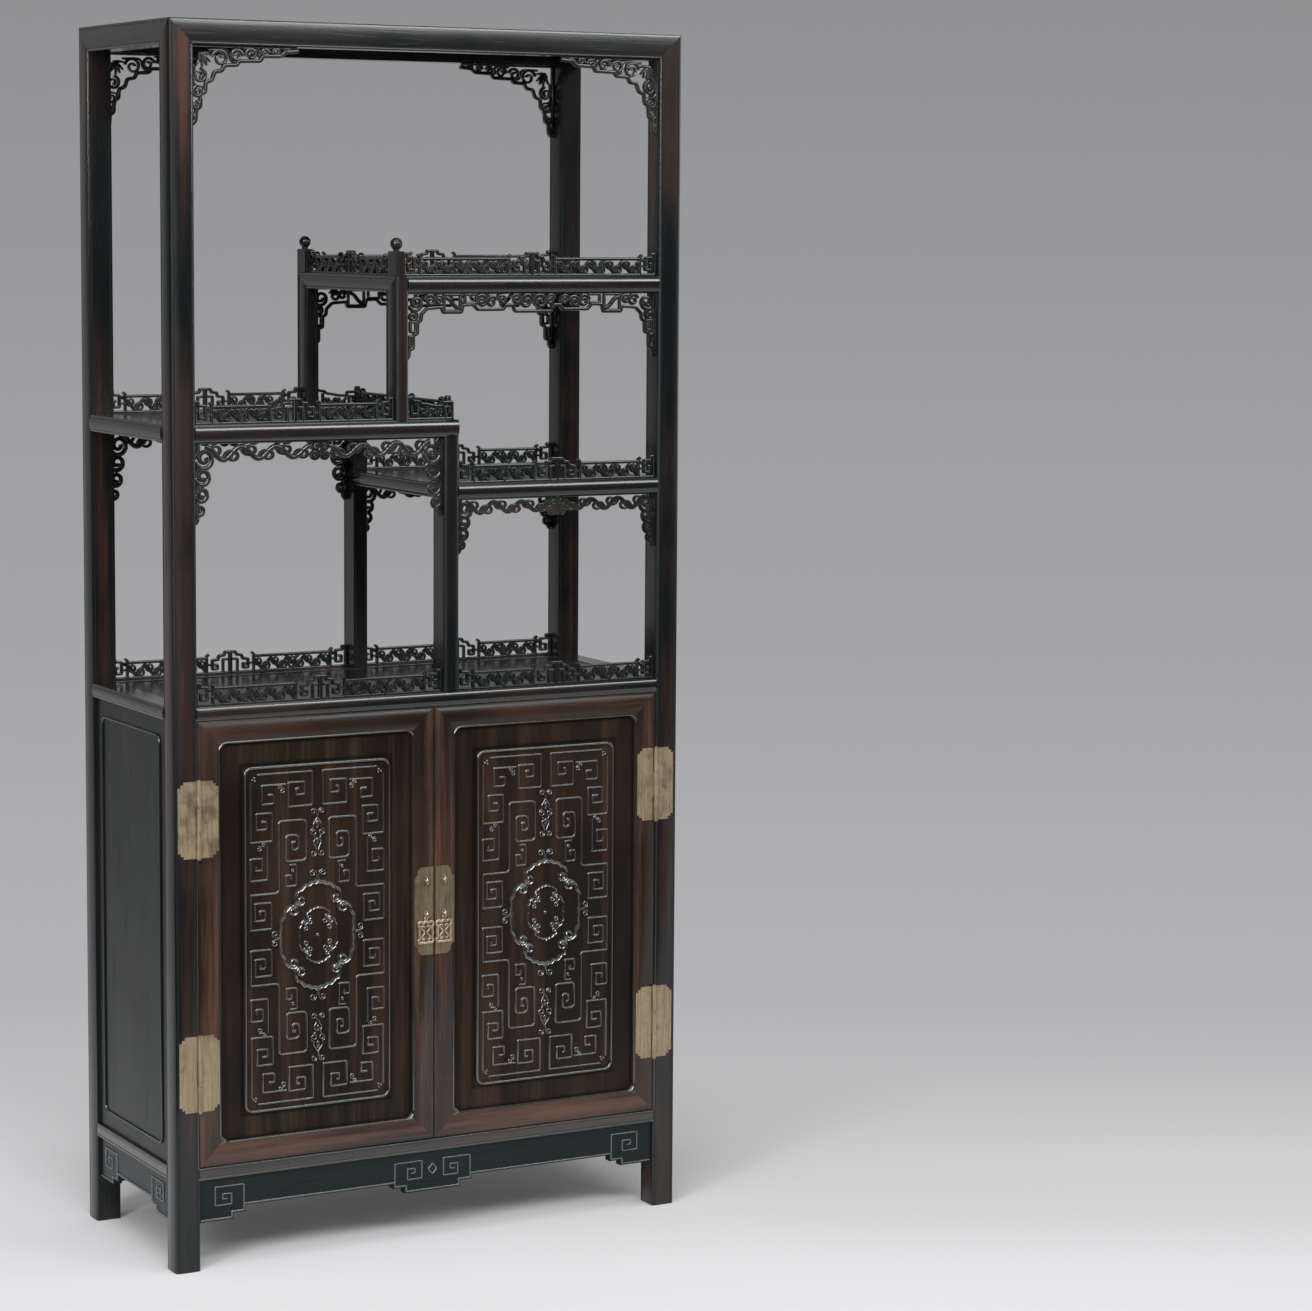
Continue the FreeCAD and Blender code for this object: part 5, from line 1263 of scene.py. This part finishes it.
@dataclass
class CarvedWork:
    """Every carved board and relief of the cabinet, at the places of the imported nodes."""

    rows: tuple[tuple[str, float], ...] = (("front", -178.0), ("back", 178.0))
    field_y: float = -184.4
    tablet: Pair = (198.4, 505.5)
    skirt_x: float = 429.9
    skirt_y: float = 182.4
    short: float = 100.0
    spans: tuple[tuple[str, tuple[Triple, ...]], ...] = (
        ("upper_gallery", ((-51.0, BAY_X, UPPER[1]),)),
        ("middle_gallery", ((-BAY_X, -65.0, MIDDLE[1]), (-45.0, 37.0, MIDDLE[1]))),
        ("lower_gallery", ((42.0, BAY_X, LOWER[1]),)),
        ("deck_gallery", ((-BAY_X, 17.0, DECK[1]), (42.0, BAY_X, DECK[1]))))

    def piece(self, shop: Workshop, name: str, wood: str, parts: Iterable[Any],
              replaced: Iterable[str] = (), body: str = "cabinet") -> None:
        """Carve parts into one piece and finish it.

        Args:
            shop: where the material comes from.
            name: the piece's name.
            wood: the key of its finish.
            parts: what is carved into it.
            replaced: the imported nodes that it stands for.
            body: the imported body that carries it.
        """
        work = Carver(name)
        for part in parts:
            part.carve(work)
        work.finish(shop, WOODS[wood], replaced, body=body)

    def build(self, shop: Workshop) -> None:
        """Build every piece."""
        self.galleries(shop)
        self.aprons(shop)
        self.skirts(shop)
        for side, way in SIDES:
            plane = Plane((self.tablet[0] * way, self.field_y, self.tablet[1]))
            self.piece(shop, f"{side}_door_relief", "relief", [DoorCarving(plane)],
                       body=f"{side}_door")
        RoundedFaces().build(shop)
        FrameBeads().build(shop)
        for side, way in SIDES:
            Pull(side, way).build(shop)

    def galleries(self, shop: Workshop) -> None:
        """The shelves' galleries, front, back and sides."""
        for where, y in self.rows:
            for name, boards in self.spans:
                parts = [Gallery(Plane((low, y, z)), high - low, high - low < self.short)
                         for low, high, z in boards]
                self.piece(shop, f"carved_{name}_{where}", "gallery", parts, [f"{name}_{where}"])
        sides = [Gallery(Plane((x, -half, z), (0.0, 1.0, 0.0)), half * 2)
                 for x, z, half in ((-55.5, UPPER[1], 157.5), (32.5, MIDDLE[1], 173.5))]
        self.piece(shop, "carved_side_galleries", "gallery", sides, ["side_galleries"])

    def aprons(self, shop: Workshop) -> None:
        """The three aprons and the top brackets, front and back."""
        for where, y in self.rows:
            for name, apron in (
                ("upper", FretApron(Plane((-45.0, y, UPPER[0])), 442.0)),
                ("middle", VineApron(Plane((-BAY_X, y, MIDDLE[0])), 414.0, 125.0, 29.0, 3.9)),
                ("lower", VineApron(Plane((42.0, y, LOWER[0])), 355.0, 88.0, 25.0, 3.3, True)),
            ):
                self.piece(shop, f"carved_{name}_apron_{where}", "carved", [apron],
                           [f"{name}_apron_{where}"])
        brackets = [Bracket(Plane((-BAY_X * way, y, HEAD[0])), way)
                    for _, y in self.rows for way in (1, -1)]
        self.piece(shop, "carved_top_brackets", "carved", brackets, ["top_brackets"])

    def skirts(self, shop: Workshop) -> None:
        """The raised lines on the four skirts."""
        x, y, z = self.skirt_x, self.skirt_y, BASE[0]
        self.piece(shop, "skirt_lines", "skirt_line", [
            Skirt(Plane((-BAY_X, -y, z)), BAY_X * 2),
            Skirt(Plane((BAY_X, y, z), (-1.0, 0.0, 0.0)), BAY_X * 2),
            Skirt(Plane((-x, BAY_Y, z), (0.0, -1.0, 0.0)), BAY_Y * 2, False),
            Skirt(Plane((x, -BAY_Y, z), (0.0, 1.0, 0.0)), BAY_Y * 2, False)])


# The stage, the light and the camera


@dataclass(frozen=True)
class Lamp:
    """A soft rectangular lamp: where it hangs, the point it faces, its size and its watts."""

    name: str
    at: Triple
    toward: Triple
    size: Pair
    power: float

    def hang(self) -> None:
        """Put the lamp into the scene, turned to the point that it faces."""
        data = bpy.data.lights.new(self.name, "AREA")
        data.shape = "RECTANGLE"
        data.size, data.size_y = self.size
        data.energy = self.power
        lamp = put_in_scene(self.name, data)
        lamp.location = Vector(self.at)
        lamp.rotation_mode = "QUATERNION"
        lamp.rotation_quaternion = (Vector(self.toward) - Vector(self.at)).to_track_quat("-Z", "Y")


LAMPS = (
    Lamp("top", (-0.6, -0.9, 4.6), (-0.4, -0.2, 0.0), (4.8, 3.6), 115.0),
    Lamp("key", (-4.2, -3.0, 2.8), (0.0, 0.0, 0.9), (1.0, 2.2), 140.0),
    Lamp("over", (-1.4, -3.6, 3.6), (0.0, 0.0, 1.0), (4.0, 1.3), 170.0),
    Lamp("glint", (2.4, -4.4, 3.4), (0.0, 0.0, 1.2), (2.2, 0.9), 60.0),
    Lamp("front", (-0.4, -5.8, 1.3), (0.0, 0.0, 1.0), (0.7, 2.2), 14.0),
    Lamp("fill", (4.4, -2.2, 2.0), (0.0, 0.0, 0.9), (1.0, 2.4), 30.0),
)


@dataclass
class Studio:
    """A pale floor that sweeps up into a grey wall, soft lamps, and the camera."""

    eye: Triple = (-2.4568, -5.2491, 1.6075)
    yaw: float = 0.5133
    pitch: float = 0.1052
    roll: float = 0.0072
    focal_px: float = 3626.5
    image_px: float = 1312.0
    sensor: float = 36.0
    shift: float = -0.04
    sweep_start: float = 4.0
    sweep_radius: float = 3.0
    half_wide: float = 14.0
    near: float = -9.0
    dim: float = -1.1
    top: float = 7.0
    aside_shade: Quad = (-0.9, 1.1, 0.0, 0.4)
    near_shade: Pair = (-0.5, 0.1)
    shade_grey: float = 0.3
    floor_run: Pair = (0.25, 1.3)
    gloss_share: float = 0.7
    floor_share: float = 0.09
    room_light: float = 0.25
    tones: tuple[tuple[float, int], ...] = (
        (-0.55, 198), (-0.23, 206), (0.07, 212), (0.39, 213), (0.75, 200), (1.15, 186),
        (1.6, 180), (3.4, 174), (5.17, 168), (6.3, 162), (7.26, 158), (8.1, 153), (8.9, 148),
        (9.3, 146))

    def build(self) -> None:
        """Put up the backdrop, the lamps and the camera."""
        self.backdrop()
        self.lamps()
        self.camera()

    def camera(self) -> None:
        """Aim a lens at the cabinet from the front left, slightly downwards.

        The view direction turns by the yaw about the vertical, dips by the pitch, and the
        picture then turns by the roll about it.
        """
        forward = np.array([math.sin(self.yaw) * math.cos(self.pitch),
                            math.cos(self.yaw) * math.cos(self.pitch), -math.sin(self.pitch)])
        right = np.array([math.cos(self.yaw), -math.sin(self.yaw), 0.0])
        up = np.cross(right, forward)
        turned_right = math.cos(self.roll) * right + math.sin(self.roll) * up
        turned_up = math.cos(self.roll) * up - math.sin(self.roll) * right
        data = bpy.data.cameras.new("camera")
        data.sensor_width = self.sensor
        data.lens = self.focal_px / self.image_px * data.sensor_width
        data.shift_y = self.shift
        camera = put_in_scene("camera", data)
        matrix = Matrix.Identity(4)
        for column, axis in enumerate((turned_right, turned_up, -forward, np.array(self.eye))):
            for row in range(3):
                matrix[row][column] = float(axis[row])
        camera.matrix_world = matrix
        bpy.context.scene.camera = camera

    def backdrop(self) -> None:
        """A sheet square to the view: a level floor, a quarter circle and an upright wall."""
        turn = np.linspace(0.0, math.pi / 2, 32)
        depth = np.concatenate([[self.near], self.sweep_start + self.sweep_radius * np.sin(turn),
                                [self.sweep_start + self.sweep_radius]])
        height = np.concatenate([[0.0], self.sweep_radius * (1 - np.cos(turn)), [self.top]])
        sine, cosine = math.sin(self.yaw), math.cos(self.yaw)
        side = np.array([[-self.half_wide], [self.half_wide]])
        verts = np.zeros((2, len(depth), 3))
        verts[:, :, 0] = depth * sine + side * cosine
        verts[:, :, 1] = depth * cosine - side * sine
        verts[:, :, 2] = height
        count = len(depth)
        first = np.arange(count - 1)
        faces = np.stack([first, first + count, first + count + 1, first + 1], 1)
        mesh = bpy.data.meshes.new("backdrop")
        mesh.from_pydata(verts.reshape(-1, 3).tolist(), [], faces.tolist())
        mesh.polygons.foreach_set("use_smooth", [True] * len(faces))
        sheet = put_in_scene("backdrop", mesh)
        mesh.materials.append(self.paper())

    def paper(self) -> bpy.types.Material:
        """Paper that is pale near the viewer and greyer up the wall.

        The tone follows the distance away from the viewer plus the height, a little
        darker towards the right. The wall shows its own tone to the camera, less to gloss,
        the floor keeps its shadows, and the floor in front is dark to gloss.
        """
        graph = Graph("backdrop_paper")
        across, depth, height = graph.split(graph.place())
        run = across * math.sin(self.yaw) + depth * math.cos(self.yaw) + height
        low, high = self.tones[0][0], self.tones[-1][0]
        share = graph.node("ShaderNodeMapRange", {}, {0: run, 1: low, 2: high})
        ramp = graph.node("ShaderNodeValToRGB", {}, {0: Wire(graph, share.outputs[0])})
        stops = ramp.color_ramp.elements
        for number, (place, tone) in enumerate(self.tones):
            at = (place - low) / (high - low)
            stop = stops[number] if number < 2 else stops.new(at)
            stop.position = at
            stop.color = opaque([((part / 255 + 0.055) / 1.055) ** 2.4  # the display's curve
                                 for part in (tone, tone, min(tone + 2, 255))])
        tone = Wire(graph, ramp.outputs[0])
        aside = across * math.cos(self.yaw) - depth * math.sin(self.yaw)
        shade = graph.ease(aside, *self.aside_shade) * graph.ease(run, *self.near_shade)
        lit = graph.node("ShaderNodeBsdfDiffuse", {},
                         {0: graph.blend(shade, tone, opaque([self.shade_grey] * 3))})
        glow = graph.node("ShaderNodeEmission", {}, {0: tone, 1: 1.0})
        light = graph.node("ShaderNodeLightPath", {}, {})
        seen = graph.math("MAXIMUM", Wire(graph, light.outputs["Is Camera Ray"]),
                          Wire(graph, light.outputs["Is Glossy Ray"]) * self.gloss_share)
        far = graph.ease(run, *self.floor_run, self.floor_share, 1.0)
        mixed = graph.node("ShaderNodeMixShader", {},
                           {0: seen * far, 1: Wire(graph, lit.outputs[0]),
                            2: Wire(graph, glow.outputs[0])})
        black = graph.node("ShaderNodeEmission", {}, {1: 0.0})
        front = graph.ease(run, self.dim - 0.2, self.dim, 1.0, 0.0)
        split = graph.node("ShaderNodeMixShader", {},
                           {0: Wire(graph, light.outputs["Is Glossy Ray"]) * front,
                            1: Wire(graph, mixed.outputs[0]), 2: Wire(graph, black.outputs[0])})
        graph.node("ShaderNodeOutputMaterial", {}, {0: Wire(graph, split.outputs[0])})
        return graph.material

    def lamps(self) -> None:
        """Hang the lamps and fill the room with a weak even light."""
        for lamp in LAMPS:
            lamp.hang()
        world = bpy.data.worlds.new("room")
        world.use_nodes = True
        world.node_tree.nodes["Background"].inputs[0].default_value = (1.0, 1.0, 1.0, 1.0)
        world.node_tree.nodes["Background"].inputs[1].default_value = self.room_light
        world.cycles_visibility.glossy = False
        bpy.context.scene.world = world


def main() -> None:
    """Build the looks in order and report them."""
    logging.basicConfig(level=logging.INFO, format="%(name)s: %(message)s")
    bpy.context.scene.view_settings.view_transform = "Standard"
    shop = Workshop()
    dress_nodes(shop)
    CarvedWork().build(shop)
    Studio().build()


if __name__ == "__main__":
    main()
